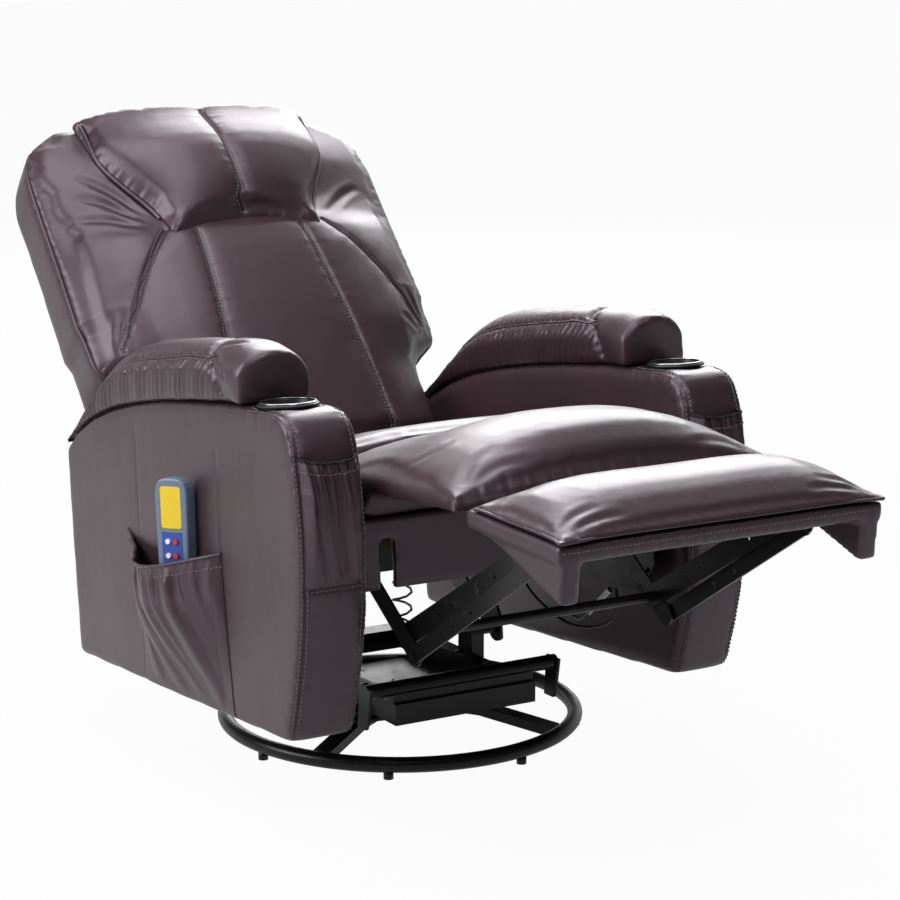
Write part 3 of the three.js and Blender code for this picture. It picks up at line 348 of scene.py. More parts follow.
def new_object(name, mesh, material):
    name = name.replace(" ", "_")
    mesh.name = name
    obj = linked(name, mesh)
    finished(mesh, material)
    smooth_shaded(obj)
    return obj


def meshed(name, co, faces):
    mesh = bpy.data.meshes.new(name)
    mesh.from_pydata(co, [], faces)
    return mesh


def mended(mesh, doubles=0.0, outward=True):
    """Joins points closer than doubles metres, and turns the faces outward."""
    form = bmesh.new()
    form.from_mesh(mesh)
    if doubles:
        bmesh.ops.remove_doubles(form, verts=form.verts, dist=doubles)
    if outward:
        bmesh.ops.dissolve_degenerate(form, edges=form.edges, dist=1e-7)
        bmesh.ops.recalc_face_normals(form, faces=form.faces)
    form.to_mesh(mesh)
    form.free()


def read(mesh, what):
    out = np.empty(len(mesh.vertices) * 3)
    mesh.vertices.foreach_get(what, out)
    return out.reshape(-1, 3)


def points(obj):
    return read(obj.data, "co")


def normals(obj):
    return read(obj.data, "normal")


def set_points(obj, co):
    obj.data.vertices.foreach_set("co", np.asarray(co, float).ravel())
    obj.data.update()


def evaluated_mesh(obj):
    return bpy.data.meshes.new_from_object(obj.evaluated_get(bpy.context.evaluated_depsgraph_get()))


def apply_modifiers(obj):
    mesh = evaluated_mesh(obj)
    materials = list(obj.data.materials)
    obj.modifiers.clear()
    obj.data = mesh
    finished(mesh, *materials)


def smooth_shaded(obj):
    obj.data.polygons.foreach_set("use_smooth", [True] * len(obj.data.polygons))


def relaxed(obj, passes, factor=0.5):
    relax = obj.modifiers.new("relax", "SMOOTH")
    relax.iterations = passes
    relax.factor = factor


def rebuilt(node, voxel, material, passes, plump=0.0):
    """The node's form in even squares, its corners relaxed, then grown by plump metres to its old size."""
    mesh = nodes[node].data.copy()
    mended(mesh, 1e-5, outward=False)
    obj = new_object(node + "_cover", mesh, material)
    remesh = obj.modifiers.new("even squares", "REMESH")
    remesh.mode = "VOXEL"
    remesh.voxel_size = voxel
    relaxed(obj, passes)
    apply_modifiers(obj)
    set_points(obj, points(obj) + normals(obj) * plump)
    smooth_shaded(obj)
    return obj


def refined(obj):
    finer = obj.modifiers.new("finer", "SUBSURF")
    finer.levels = finer.render_levels = 1
    apply_modifiers(obj)
    smooth_shaded(obj)


DRAWN_IN = 0.005  # how far a form is drawn in before it is blown up
SLIDE = 0.003  # how far a point may slide along the surface
PRESSURE, FRAMES = 4.0, 20


def stuffed(node, voxel, cap, plump, passes):
    obj = rebuilt(node, voxel, cover, passes, plump - DRAWN_IN)
    start, out = points(obj), normals(obj)
    cloth = obj.modifiers.new("stuffing", "CLOTH")
    cloth.settings.use_pressure = True
    cloth.settings.uniform_pressure_force = PRESSURE
    cloth.settings.effector_weights.gravity = 0
    cloth.settings.quality = 4
    cloth.settings.mass = 0.3
    cloth.settings.tension_stiffness = cloth.settings.compression_stiffness = 12
    cloth.settings.bending_stiffness = 0.6
    cloth.point_cache.frame_end = FRAMES
    for number in range(1, FRAMES + 1):
        scene.frame_set(number)
    swollen = obj.evaluated_get(bpy.context.evaluated_depsgraph_get()).data
    move = read(swollen, "co") - start
    rise = (move * out).sum(1, keepdims=True)
    along = move - out * rise
    along *= np.minimum(1.0, SLIDE / np.maximum(np.linalg.norm(along, axis=1, keepdims=True), 1e-9))
    obj.modifiers.clear()
    set_points(obj, start + out * np.clip(rise, 0.0, cap) + along)
    scene.frame_set(1)
    relaxed(obj, 3)
    refined(obj)
    print(obj.name, "faces", len(obj.data.polygons))
    return obj


def dressed(obj, body, fill, *replaced):
    """The closing lines of every padded piece."""
    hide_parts(*replaced)
    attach(obj, body)


# %% [markdown]
# A sewn seam pulls the cover down into a narrow channel, and the cloth beside it puckers in short folds
# that run across the seam. On a mesh this is a push along the normal: deep near the line, with a ripple
# that fades away. The seam line is first drawn as a rough path near the cushion and then laid onto its
# surface.


# %% Sewn channels
wander = np.random.default_rng(7).uniform(0, math.tau, 3)


def ripple(t, period):
    """An uneven wave along a seam: three waves of unrelated length."""
    waves = zip((1.0, 0.6, 0.5), (1.0, 1.73, 0.61), wander)
    return sum(size * np.sin(math.tau * t / (period * longer) + turn) for size, longer, turn in waves) / 2.1


def dense(path, step=0.006):
    path = np.asarray(path, float)
    gaps = np.linalg.norm(np.diff(path, axis=0), axis=1)
    run = np.concatenate([[0], np.cumsum(gaps)])
    at = np.linspace(0, run[-1], max(3, int(run[-1] / step)))
    return np.stack([np.interp(at, run, path[:, k]) for k in range(3)], -1)


def eased(path, passes=3):
    path = path.copy()
    for _ in range(passes):
        path[1:-1] = (path[:-2] + 2 * path[1:-1] + path[2:]) / 4
    return path


def laid_on(obj, path, lift=0.0, beside=0.0):
    """A path moved onto the object's surface, lift metres above it and beside metres to one side."""
    mesh = obj.data
    tree = BVHTree.FromPolygons([v.co for v in mesh.vertices], [p.vertices[:] for p in mesh.polygons])
    hits = [tree.find_nearest(Vector(p))[:2] for p in path]
    if beside:
        co = np.array([hit for hit, _ in hits])
        up = np.array([normal for _, normal in hits])
        side = np.cross(up, np.gradient(eased(co, 4), axis=0))
        side /= np.linalg.norm(side, axis=1, keepdims=True)
        hits = [tree.find_nearest(Vector(p))[:2] for p in co + side * beside]
    return np.array([hit + normal * lift for hit, normal in hits])


def unit(value):
    return np.clip(value, 0, 1)


def bell(away, width):
    return np.exp(-(away / width) ** 2)


def nearest_on(line, co):
    """Distance from each point to a line, and how far along the line its nearest place is."""
    best = np.full(len(co), 1e9)
    along = np.zeros(len(co))
    run = 0.0
    for a, b in zip(line[:-1], line[1:]):
        d = b - a
        length = np.linalg.norm(d)
        t = unit(((co - a) @ d) / max(length ** 2, 1e-12))
        away = np.linalg.norm(co - (a + t[:, None] * d), axis=1)
        closer = away < best
        best[closer] = away[closer]
        along[closer] = run + t[closer] * length
        run += length
    return best, along


def sewn(obj, paths, depth, width, pucker, period=0.018, spread=0.022):
    """Lays seams on, draws the cover in along them and lets it pucker beside them, all in metres."""
    lines = [laid_on(obj, path) for path in paths]
    co, out = points(obj), normals(obj)
    push = np.zeros(len(co))
    for number, line in enumerate(lines):
        low, high = line.min(0) - 3 * spread, line.max(0) + 3 * spread
        near = np.where(((co > low) & (co < high)).all(1))[0]
        away, along = nearest_on(dense(line, 0.02), co[near])
        channel = depth * bell(away, width) + 0.4 * depth * bell(away, 3.5 * width)
        beside = pucker * ripple(along + 0.031 * number, period) * bell(away, spread)
        push[near] += beside * (1 - 0.7 * bell(away, width)) - channel
    set_points(obj, co + out * push[:, None])
    return lines


def relaid(obj, lines, lift, beside=0.0, passes=3):
    """Seam lines laid once more on the sewn cover, lifted by what rides on them."""
    return [eased(laid_on(obj, line, lift, beside), passes) for line in lines]


def creased(obj, lines, depth, width):
    """Soft folds laid on along rough paths, deepest in their middle and gone at their ends."""
    co, out = points(obj), normals(obj)
    push = np.zeros(len(co))
    for line in [laid_on(obj, eased(dense(path), 12)) for path in lines]:
        away, along = nearest_on(line, co)
        length = np.linalg.norm(np.diff(line, axis=0), axis=1).sum()
        fade = np.sin(math.pi * unit(along / length)) ** 0.7
        push += depth * fade * (0.5 * bell(away - 1.9 * width, width) - bell(away, width))
    set_points(obj, co + out * push[:, None])


def loosened(obj, amount, scale, seed):
    """Slow swells over a cover, in metres, from a few random waves."""
    waves = np.random.default_rng(seed)
    co = points(obj)
    push = np.zeros(len(co))
    for _ in range(12):
        direction = waves.normal(size=3)
        direction /= np.linalg.norm(direction)
        length = scale * waves.uniform(0.6, 1.8)
        push += np.sin(co @ direction * math.tau / length + waves.uniform(0, 6.28))
    set_points(obj, co + normals(obj) * (push / 12 * amount)[:, None])


def pressed(obj, weight, amount):
    """Lets a cover yield along its normals where weight is above 0, as where two cushions meet."""
    set_points(obj, points(obj) - normals(obj) * (amount * unit(weight))[:, None])


# %% [markdown]
# Piping is a cord wrapped in leather and sewn into a seam. A round tube swept along the seam shows it.
# Stitches are far too many to place by hand: a Geometry Nodes tree walks along each seam line at an even
# pitch, puts one short rounded stitch at each step, turned along the seam, and hands back a plain mesh.


# %% Piping
def drawn_curve(name, paths, closed=False):
    curve = bpy.data.curves.new(name, "CURVE")
    curve.dimensions = "3D"
    for path in paths:
        spline = curve.splines.new("POLY")
        spline.points.add(len(path) - 1)
        spline.points.foreach_set("co", np.hstack([path, np.ones((len(path), 1))]).ravel())
        spline.use_cyclic_u = closed
    return linked(name + " line", curve)


def tube(name, paths, radius, body, material=piping_leather, resolution=2):
    holder = drawn_curve(name, paths)
    holder.data.bevel_depth = radius
    holder.data.bevel_resolution = resolution
    holder.data.use_fill_caps = True
    mesh = evaluated_mesh(holder)
    bpy.data.objects.remove(holder)
    obj = new_object(name, mesh, material)
    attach(obj, body)


# %% A Geometry Nodes tree, wired by name
class Growth(Nodes):
    """A node tree with named inputs that grows a mesh from a path or from points."""

    def __init__(self, name, **sizes):
        super().__init__(bpy.data.node_groups.new(name, "GeometryNodeTree"))
        face = self.tree.interface
        face.new_socket("Path", in_out="INPUT", socket_type="NodeSocketGeometry")
        for label, value in sizes.items():
            kind = "NodeSocketVector" if isinstance(value, tuple) else "NodeSocketFloat"
            socket = face.new_socket(label.replace("_", " "), in_out="INPUT", socket_type=kind)
            socket.default_value = value
        face.new_socket("Finish", in_out="INPUT", socket_type="NodeSocketMaterial")
        face.new_socket("Pieces", in_out="OUTPUT", socket_type="NodeSocketGeometry")
        start = self.tree.nodes.new("NodeGroupInput")
        self.given = {socket.name: Value(self.tree, socket) for socket in start.outputs if socket.name}

    def joined(self, *pieces):
        both = self.tree.nodes.new("GeometryNodeJoinGeometry")
        for piece in pieces:
            feed(self.tree, both.inputs[0], piece)
        return Value(self.tree, both.outputs[0])

    def done(self, geometry):
        real = self.node("GeometryNodeRealizeInstances", Geometry=geometry)
        painted_on = self.node("GeometryNodeSetMaterial", Geometry=real, Material=self.given["Finish"])
        end = self.tree.nodes.new("NodeGroupOutput")
        feed(self.tree, end.inputs["Pieces"], painted_on)
        return self

    def grow(self, name, holder, body, material, slot="upholstery", **sizes):
        walk = holder.modifiers.new("grow", "NODES")
        walk.node_group = self.tree
        sockets = self.tree.interface.items_tree
        names = {socket.name: socket.identifier for socket in sockets if socket.in_out == "INPUT"}
        walk[names["Finish"]] = material
        for label, value in sizes.items():
            walk[names[label.replace("_", " ")]] = value
        mesh = evaluated_mesh(holder)
        bpy.data.objects.remove(holder)
        obj = new_object(name, mesh, material)
        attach(obj, body)
        print(name, "faces", len(mesh.polygons))
        return obj


# %% Stitches
def stitch_growth():
    g = Growth("Stitches along a seam", Pitch=0.0072, Half_length=0.0029, Thread=0.0010)
    steps = g.node("GeometryNodeResampleCurve", settings={"mode": "LENGTH"}, Curve=g.given["Path"],
                   Length=g.given["Pitch"])
    ball = g.node("GeometryNodeMeshUVSphere", Segments=6, Rings=4, Radius=1.0)
    size = g.node("ShaderNodeCombineXYZ", X=g.given["Thread"], Y=g.given["Thread"], Z=g.given["Half length"])
    stitch = g.node("GeometryNodeTransform", Geometry=ball, Scale=size)
    turn = g.node("FunctionNodeAlignRotationToVector", settings={"axis": "Z"},
                  Vector=g.node("GeometryNodeInputTangent"))
    return g.done(g.node("GeometryNodeInstanceOnPoints", Points=steps, Instance=stitch, Rotation=turn))


stitching = stitch_growth()


def stitches(name, paths, body):
    stitching.grow(name, drawn_curve(name, paths), body, thread)


def topstitched(name, obj, lines, body, apart=0.005):
    """A seam: a dark line of painted shade where the leather goes in, and a row of stitches on each side."""
    tube(name + " seam", relaid(obj, lines, 0.0001, passes=8), 0.0011, body, seam_shadow, resolution=1)
    rows = [eased(laid_on(obj, line, 0.0010, side), 5) for line in lines for side in (-apart, apart)]
    stitches(name + " stitches", rows, body)


# %% [markdown]
# ## The back
# The back cushion is one wide pad, narrow between the arms, with two seams that run up to the headrest and
# two that slope out to its sides. A bolster pillow lies over its top. Both are stuffed and then sewn.
# Places on the back are given in millimetres: across, up the back, and out of its front.

# %% Back cushion
INNER = [[(side * 103, 470), (side * 118, 300), (side * 133, 150), (side * 146, 20)] for side in (-1, 1)]
OUTER = [[(side * 158, 494), (side * 215, 415), (side * 272, 335), (side * 324, 262)] for side in (-1, 1)]
back_cushion = stuffed("back_cushion", 0.0085, cap=0.008, plump=0.003, passes=10)


def back_line(line, out=40.0):
    return dense(back_place([(*p, out) if len(p) == 2 else p for p in line]))


def back_edge(side):
    """The welt between the front and the side of the back, from the waist up over the shoulder."""
    line = []
    for s in np.linspace(205, 742, 40):
        flare = float(unit((s - 196) / 60))
        flare = flare * flare * (3 - 2 * flare)
        corner = float(unit(1 - (775 - s) / 145))
        half = 280 + 70 * flare - 112 * (1 - math.sqrt(1 - corner ** 2.4 * 0.96))
        line.append((side * (half + 6), s, -46 - 30 * corner ** 2))
    return line


BACK_FOOT = back_place([0, 0, 0])
BACK_UP = back_place([0, 1000, 0]) - BACK_FOOT

loosened(back_cushion, 0.004, 0.26, 3)
co = points(back_cushion)
beside_arm = unit((0.350 - (co - BACK_FOOT) @ BACK_UP) / 0.06)
pressed(back_cushion, beside_arm * (np.abs(co[:, 0] - CENTRE[0]) - 0.240) / 0.04, 0.007)
back_seams = sewn(back_cushion, [back_line(line) for line in INNER + OUTER],
                  depth=0.0045, width=0.0050, pucker=0.0006, period=0.026, spread=0.020)
back_welts = sewn(back_cushion, [back_line(back_edge(side)) for side in (-1, 1)],
                  depth=0.003, width=0.005, pucker=0.0010, period=0.022, spread=0.020)
UPPER_FOLDS = [((-176, 520), (-238, 575), (-300, 600)), ((-172, 532), (-225, 600), (-282, 645)),
               ((-182, 508), (-250, 545), (-318, 556)), ((178, 518), (240, 566), (296, 588))]
LOWER_FOLDS = [((330, 246), (300, 290), (262, 318)), ((334, 252), (316, 300), (292, 345)),
               ((322, 238), (286, 262), (240, 276)), ((-330, 250), (-312, 300), (-290, 340))]
creased(back_cushion, [back_line(fold) for fold in UPPER_FOLDS], 0.0034, 0.0075)
creased(back_cushion, [back_line(fold) for fold in LOWER_FOLDS], 0.0022, 0.0070)
dressed(back_cushion, "back", 0.85, "back_cushion")
topstitched("back", back_cushion, back_seams, "back")
tube("back piping", relaid(back_cushion, back_welts, 0.0016, passes=10), 0.0030, "back")
rows = [relaid(back_cushion, [line], 0.0004, side * 0.007)[0] for line, side in zip(back_welts, (1, -1))]
stitches("back piping stitches", rows, "back")

# %% [markdown]
# The headrest is a bolster: two leather panels with a doubled seam between them, gathered onto a rolled
# edge at each side. The leather is drawn up along the rolled edge, so short folds stand beside it.

# %% Headrest pillow
head_pillow = stuffed("head_pillow", 0.005, cap=0.010, plump=0.010, passes=16)
loosened(head_pillow, 0.003, 0.20, 5)
co = points(head_pillow)
height = (co - BACK_FOOT) @ BACK_UP
middle = unit(1.1 - ((co[:, 0] - CENTRE[0]) / 0.185) ** 4)
sag = unit((0.570 - height) / 0.080) ** 1.4 * middle
set_points(head_pillow, co - BACK_UP * 0.020 * sag[:, None])  # the full lower edge hangs over the back
pillow_seam = sewn(head_pillow, [back_line([(0, s) for s in range(490, 771, 20)], 90)],
                   depth=0.0034, width=0.0050, pucker=0.0005, period=0.022)


def pillow_edge(side):
    """The rolled edge of the bolster, wider towards its top."""
    return [(side * (150 + 72 * min(1, (s - 520) / 130) ** 0.8), s, 22 - 0.16 * (s - 520))
            for s in np.linspace(521, 757, 24)]


pillow_welts = sewn(head_pillow, [back_line(pillow_edge(side)) for side in (-1, 1)],
                    depth=0.0026, width=0.006, pucker=0.0009, period=0.019, spread=0.018)
dressed(head_pillow, "back", 0.9, "head_pillow")
topstitched("pillow", head_pillow, pillow_seam, "back", 0.006)
tube("pillow piping", relaid(head_pillow, pillow_welts, 0.0020, passes=12), 0.0036, "back")

# %% Rear cover
rear_cover = rebuilt("rear_shell", 0.004, tight_cover, 8)
loosened(rear_cover, 0.0015, 0.22, 8)
dressed(rear_cover, "back", 0.2, "rear_shell")

# %% [markdown]
# ## The seat
# The seat is one long pad in two parts. The rear part lies between the arms. The front part bridges to the
# footrest and flattens when the footrest folds.

# %% Seat, leg pad and footrest pad
seat_pad = stuffed("seat_cushion", 0.008, cap=0.006, plump=0.002, passes=10)
loosened(seat_pad, 0.003, 0.22, 21)
dressed(seat_pad, "chassis", 0.8, "seat_cushion")

leg_pad = stuffed("leg_pad", 0.007, cap=0.004, plump=0.001, passes=10)
loosened(leg_pad, 0.003, 0.24, 23)
LEG_FOLDS = [((258, -640), (215, -600), (160, -588)), ((246, -652), (190, -628), (128, -630)),
             ((262, -470), (222, -500), (172, -508))]
creased(leg_pad, [place([(side * x, y, 530) for x, y in fold]) for fold in LEG_FOLDS for side in (-1, 1)],
         0.0016, 0.008)
sewn(leg_pad, [dense(place([(x, -664, 503) for x in range(-262, 263, 12)]))],
     depth=0.0015, width=0.006, pucker=0.0010, period=0.024, spread=0.022)
dressed(leg_pad, "chassis", 0.8, "leg_pad")

# %% Footrest
REST_AT = (-674.0, 465.0)
REST_TILT = math.radians(5.2)


def rest_place(p):
    return tilted_place(p, REST_AT, REST_TILT)


foot_pad = stuffed("footrest_pad", 0.006, cap=0.003, plump=0.001, passes=7)
loosened(foot_pad, 0.0018, 0.20, 25)
rim = [(-277, -20, 26), (-277, -236, 26), (277, -236, 26), (277, -20, 26)]
foot_welt = sewn(foot_pad, [dense(rest_place(rim))],
                 depth=0.0014, width=0.004, pucker=0.0008, period=0.020, spread=0.014)
FOOT_FOLDS = [((270, -222), (232, -196), (180, -190)), ((262, -232), (205, -214), (150, -216))]
creased(foot_pad, [rest_place([(side * x, y, 60) for x, y in fold]) for fold in FOOT_FOLDS
                   for side in (-1, 1)], 0.0018, 0.007)
dressed(foot_pad, "footrest", 0.8, "footrest_pad")
tube("footrest piping", relaid(foot_pad, foot_welt, 0.001), 0.0022, "footrest")

foot_board = rebuilt("footrest_board", 0.004, tight_cover, 6, 0.0012)
loosened(foot_board, 0.0015, 0.12, 26)
strip = sewn(foot_board, [dense(rest_place([(x, -234, 14) for x in range(-262, 263, 12)]))],
             depth=0.0008, width=0.004, pucker=0.0012, period=0.024, spread=0.014)
dressed(foot_board, "footrest", 0.2, "footrest_board")
stitches("footrest strip stitches", relaid(foot_board, strip, 0.0004), "footrest")

# %% [markdown]
# ## The arms
# Each arm is a box of leather panels over a padded frame, with a rounded pad on top. The panels hang a
# little loose, so they bow and ripple softly between their seams, and a seam with two rows of stitches runs
# down each front corner.

# %% Arm boxes
ARM_REAR, ARM_DECK_Y, ARM_DECK_Z = (421, 474), -330, 606


def bezier(a, b, c, d, count=24):
    t = np.linspace(0, 1, count)[:, None]
    a, b, c, d = (np.array(p, float) for p in (a, b, c, d))
    return a * (1 - t) ** 3 + 3 * b * t * (1 - t) ** 2 + 3 * c * t * t * (1 - t) + d * t ** 3


def arm_front(z):
    return -431 + 0.0007 * (z - 415) ** 2


arm_top_line = bezier(ARM_REAR, (301, 566), (40, 598), (ARM_DECK_Y, ARM_DECK_Z))
nose_line = bezier((ARM_DECK_Y, ARM_DECK_Z), (-394, 608), (arm_front(520) + 10, 596), (arm_front(520), 520),
                   12)
front_line = np.array([(arm_front(z), z) for z in range(500, 119, -20)], float)


def arm_top(y):
    return np.interp(y, arm_top_line[::-1, 0], arm_top_line[::-1, 1])


def along_arm(x, yz):
    yz = np.asarray(yz, float)
    return place(np.column_stack([np.full(len(yz), float(x)), yz]))


SIDES = (("left", 1), ("right", -1))
arms = {}
for side, sign in SIDES:
    arm = rebuilt(f"arm_{side}", 0.0073, cover, 5, 0.001)
    refined(arm)
    loosened(arm, 0.0030, 0.34, 11 + sign)
    corner = np.vstack([[(-276, 605)], [(-310, 606)], nose_line, front_line])
    arm_seams = sewn(arm, [dense(along_arm(sign * x, corner)) for x in (393, 296)],
                     depth=0.0022, width=0.004, pucker=0.0010, period=0.03, spread=0.022)
    across = sewn(arm, [dense(place([(sign * x, -432, 352) for x in range(296, 395, 7)]))],
                  depth=0.002, width=0.004, pucker=0.0008, period=0.03, spread=0.02)
    sewn(arm, [dense(place([(sign * 402, y, z) for z in range(130, 541, 20)])) for y in (128, -165)],
         depth=0.0008, width=0.0025, pucker=0.0)
    dressed(arm, "chassis", 0.4, f"arm_{side}")
    topstitched(f"arm {side}", arm, arm_seams, "chassis", 0.0045)
    stitches(f"arm {side} pocket seam stitches", relaid(arm, across, 0.0004, 0.004), "chassis")
    arms[side] = arm

# %% [markdown]
# The pad on each arm has a smooth top panel, a narrow band down each side that is gathered into many small
# upright pleats, and a full round nose in front, where a seam goes over the pad and draws the leather in.

# %% Arm pads
WELT = [(405, 492), (372, 534), (328, 575), (272, 613), (199, 637), (130, 651), (6, 664), (-105, 676),
        (-168, 682)]
PLEAT = 0.0165  # metres from pleat to pleat
SLANT = 0.036  # how far a pleat leans back over the height of the band
NOSE_Y = -188  # where the seam in front of the band goes over the pad
NOSE_LOOP = [(410, 618), (410, 650), (404, 686), (385, 700), (345, 706), (305, 700), (286, 686), (280, 650),
             (280, 618)]
NOSE_FOLDS = [((402, -150, 690), (408, -195, 672), (404, -222, 640)),
              ((396, -145, 698), (380, -190, 706), (362, -220, 704))]


def pleated(obj, sign):
    co, out = points(obj), normals(obj)
    y, z = rolled((co[:, 1] - CENTRE[1]) * 1000, (co[:, 2] + DRAWN_FLOOR - PIVOT_Z) * 1000, ROCK)
    welt_y, welt_z = np.array(WELT[::-1], float).T
    foot = arm_top(y)
    t = (z + PIVOT_Z * 1000 - foot) / np.maximum(np.interp(y, welt_y, welt_z) - foot, 12)
    sideways = unit(np.abs(out[:, 0]) * 1.6 - 0.4)
    reach = unit((y - NOSE_Y - 6) / 14) * unit((410 - y) / 60)
    phase = math.tau * (y / 1000 + SLANT * t) / PLEAT
    sharp = np.abs(np.sin(phase / 2 + 0.4 * np.sin(phase * 0.31))) ** 0.8
    size = 0.7 + 0.3 * np.sin(phase * 0.23 + sign)
    band = np.sin(math.pi * unit(t)) ** 0.5
    set_points(obj, co + out * ((0.0042 * sharp - 0.0022) * size * band * sideways * reach)[:, None])


for side, sign in SIDES:
    top = stuffed(f"arm_pad_{side}", 0.0055, cap=0.007, plump=0.004, passes=12)
    loosened(top, 0.003, 0.14, 31 + sign)
    pressed(top, (points(top)[:, 1] - CENTRE[1] - 0.18) / 0.08, 0.004)
    welts = sewn(top, [dense(along_arm(sign * x, WELT)) for x in (406, 283)],
                 depth=0.0026, width=0.0042, pucker=0.0014, period=0.016, spread=0.014)
    sewn(top, [dense(place([(sign * x, NOSE_Y + 0.9 * max(0, z - 640), z) for x, z in NOSE_LOOP]))],
         depth=0.0065, width=0.008, pucker=0.0012, period=0.024, spread=0.020)
    pleated(top, sign)
    creased(top, [place([(sign * x, y, z) for x, y, z in fold]) for fold in NOSE_FOLDS], 0.0026, 0.006)
    dressed(top, "chassis", 0.8, f"arm_pad_{side}")
    tube(f"arm pad {side} piping", relaid(top, welts, 0.0008), 0.0016, "chassis", resolution=1)
    stitches(f"arm pad {side} stitches", relaid(top, welts, 0.0004, -0.005), "chassis")

# %% [markdown]
# Pockets are a single leather sheet drawn up by elastic. The rim is shorter than the panel below it, so the
# leather falls in upright folds that are sharp under the rim and fade towards the bottom seam.


# %% Gathered pockets
SHEET = 0.0024  # thickness of the pocket leather


def gathered(node, side, columns, rows, shape):
    """A closed thin sheet on an arm; shape(u, v) gives places before it, its lift, and the way out."""
    u, v = np.meshgrid(np.linspace(0, 1, columns + 1), np.linspace(0, 1, rows + 1))
    before, lift, outward = shape(u.ravel(), v.ravel())
    away = place(outward) - place((0, 0, 0))
    away /= np.linalg.norm(away)
    arm = arms[side].data
    tree = BVHTree.FromPolygons([p.co for p in arm.vertices], [p.vertices[:] for p in arm.polygons])
    starts = place(before)
    hits = [tree.ray_cast(Vector(p), Vector(-away))[0] for p in starts]
    ground = np.array([p if hit is None else hit for p, hit in zip(starts, hits)])
    middle = ground + away * (lift[:, None] / 1000)
    co = np.vstack([middle + away * SHEET / 2, middle - away * SHEET / 2])
    stride = u.size
    wide = columns + 1
    faces = [tuple(layer * stride + j * wide + i + k for k in (0, 1, wide + 1, wide))
             for layer in (0, 1) for j in range(rows) for i in range(columns)]
    rim = ([j * wide for j in range(rows)] + [rows * wide + i for i in range(columns)]
           + [j * wide + columns for j in range(rows, 0, -1)] + list(range(columns, 0, -1)))
    faces += [(a, b, b + stride, a + stride) for a, b in zip(rim, rim[1:] + rim[:1])]
    mesh = meshed(node, co.tolist(), faces)
    mended(mesh)
    obj = new_object(node + "_cover", mesh, cover)
    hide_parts(node)
    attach(obj, "chassis")
    return obj, lambda row, out=0.0006: middle[row * wide:(row + 1) * wide] + away * out


def folds(u, v, count, seed, lean=0.05):
    """Upright folds, many under the rim and fewer below."""
    rand = np.random.default_rng(seed).uniform(0, 6.28, 6)
    bent = u - lean * (1 - v) + 0.02 * np.sin(v * 5 + rand[0]) + 0.012 * np.sin(v * 11 + rand[1])
    turn = bent * count * math.pi
    rim = np.sin(turn * 2 + rand[2]) + 0.5 * np.sin(turn * 3.4 + rand[3])
    wide = np.sin(turn * 1.1 + rand[4]) + 0.6 * np.sin(turn * 0.7 + rand[5])
    crest = lambda wave: np.sign(wave) * np.abs(wave) ** 0.75
    return crest(rim) * v ** 2.2 * 0.8 + crest(wide) * 1.3 * v ** 0.7 * (1.12 - v)


def band_pleats(u, v, count, height, start=0.90):
    """The close pleats of the gathered band along the rim."""
    in_band = unit((v - start) / 0.03)
    return in_band * height * np.sin(math.tau * count * (u + 0.004 * np.sin(37 * u)))


FRONT = {"bottom": 353, "top": 541, "proud": 14}

for side, sign in SIDES:
    def front_sheet(u, v, sign=sign):
        edge = unit((1 - np.abs(2 * u - 1) ** 4) * 1.6)
        z = FRONT["bottom"] + v * (FRONT["top"] - FRONT["bottom"] - 7 * (1 - (2 * u - 1) ** 2))
        lift = FRONT["proud"] * np.sin(math.pi * unit(v) * 0.62).clip(0) ** 0.7
        wave = (folds(u, v, 5, 20 + sign, 0.26 * sign) * 4.8 + band_pleats(u, v, 13, 1.2)) * edge
        held = unit(v * 9)
        stand = lift * edge + wave.clip(-3, 7) * held + 1.4 * edge * held - 0.4
        return np.stack([sign * (297 + u * 95), np.full(len(u), -500.0), z], -1), stand, (0, -1, 0)

    pocket, row_of = gathered(f"front_pocket_{side}", side, 110, 90, front_sheet)
    tube(f"front pocket {side} elastic", [eased(row_of(90))], 0.0022, "chassis", elastic)
    stitches(f"front pocket {side} stitches", [eased(row_of(82, 0.0018), 1)], "chassis")

SIDE = {"rear": 175, "front": -172, "bottom": 121, "rim": 372, "sag": 34, "bulge": 58}


def side_sheet(u, v):
    lean = 22 * (1 - v)
    y = (SIDE["rear"] - 2 * lean) * (1 - u) + (SIDE["front"] - lean) * u
    rim = SIDE["rim"] - SIDE["sag"] * np.sin(math.pi * u ** 0.8) - 6 * (1 - u)
    z = SIDE["bottom"] + (rim - SIDE["bottom"]) * v
    opening = (u / 0.43).clip(0, 1)
    front_end = np.sin(math.pi * u ** 1.25).clip(0) ** 0.8
    belly = np.minimum(opening ** 1.7 * (1.25 - 0.25 * opening ** 3), front_end)
    t = unit(v / 0.75)
    lift = SIDE["bulge"] * belly * t * t * (3 - 2 * t)
    held = unit((1 - np.abs(2 * u - 1) ** 3) * 1.8) * unit(v * 9)
    rim_calm = 1 - 0.85 * unit((v - 0.88) / 0.10)
    wave = (folds(u, v, 8, 5, 0.16) * 6.6 * rim_calm + band_pleats(u, v, 26, 0.8, 0.93)) * held
    stand = np.maximum(lift + wave.clip(-6, 9), 0.4) + 1.2 * held - 0.4
    return np.stack([np.full(len(u), -480.0), y, z], -1), stand, (-1, 0, 0)


side_pocket, row_of = gathered("side_pocket", "right", 200, 120, side_sheet)
tube("side pocket elastic", [eased(row_of(120))], 0.0030, "chassis")
stitches("side pocket stitches", [eased(row_of(111, 0.0018), 1)], "chassis")

# %% Front fascia
fascia = rebuilt("front_fascia", 0.004, tight_cover, 4, 0.0008)
dressed(fascia, "chassis", 0.2, "front_fascia")

# %% [markdown]
# ## Round things
# The ring base, its glides and the cup holders are turned or bent round, and the CAD model shows their
# facets. A Geometry Nodes tree sweeps the ring's tube round a circle, and the cups are turned from a
# profile.

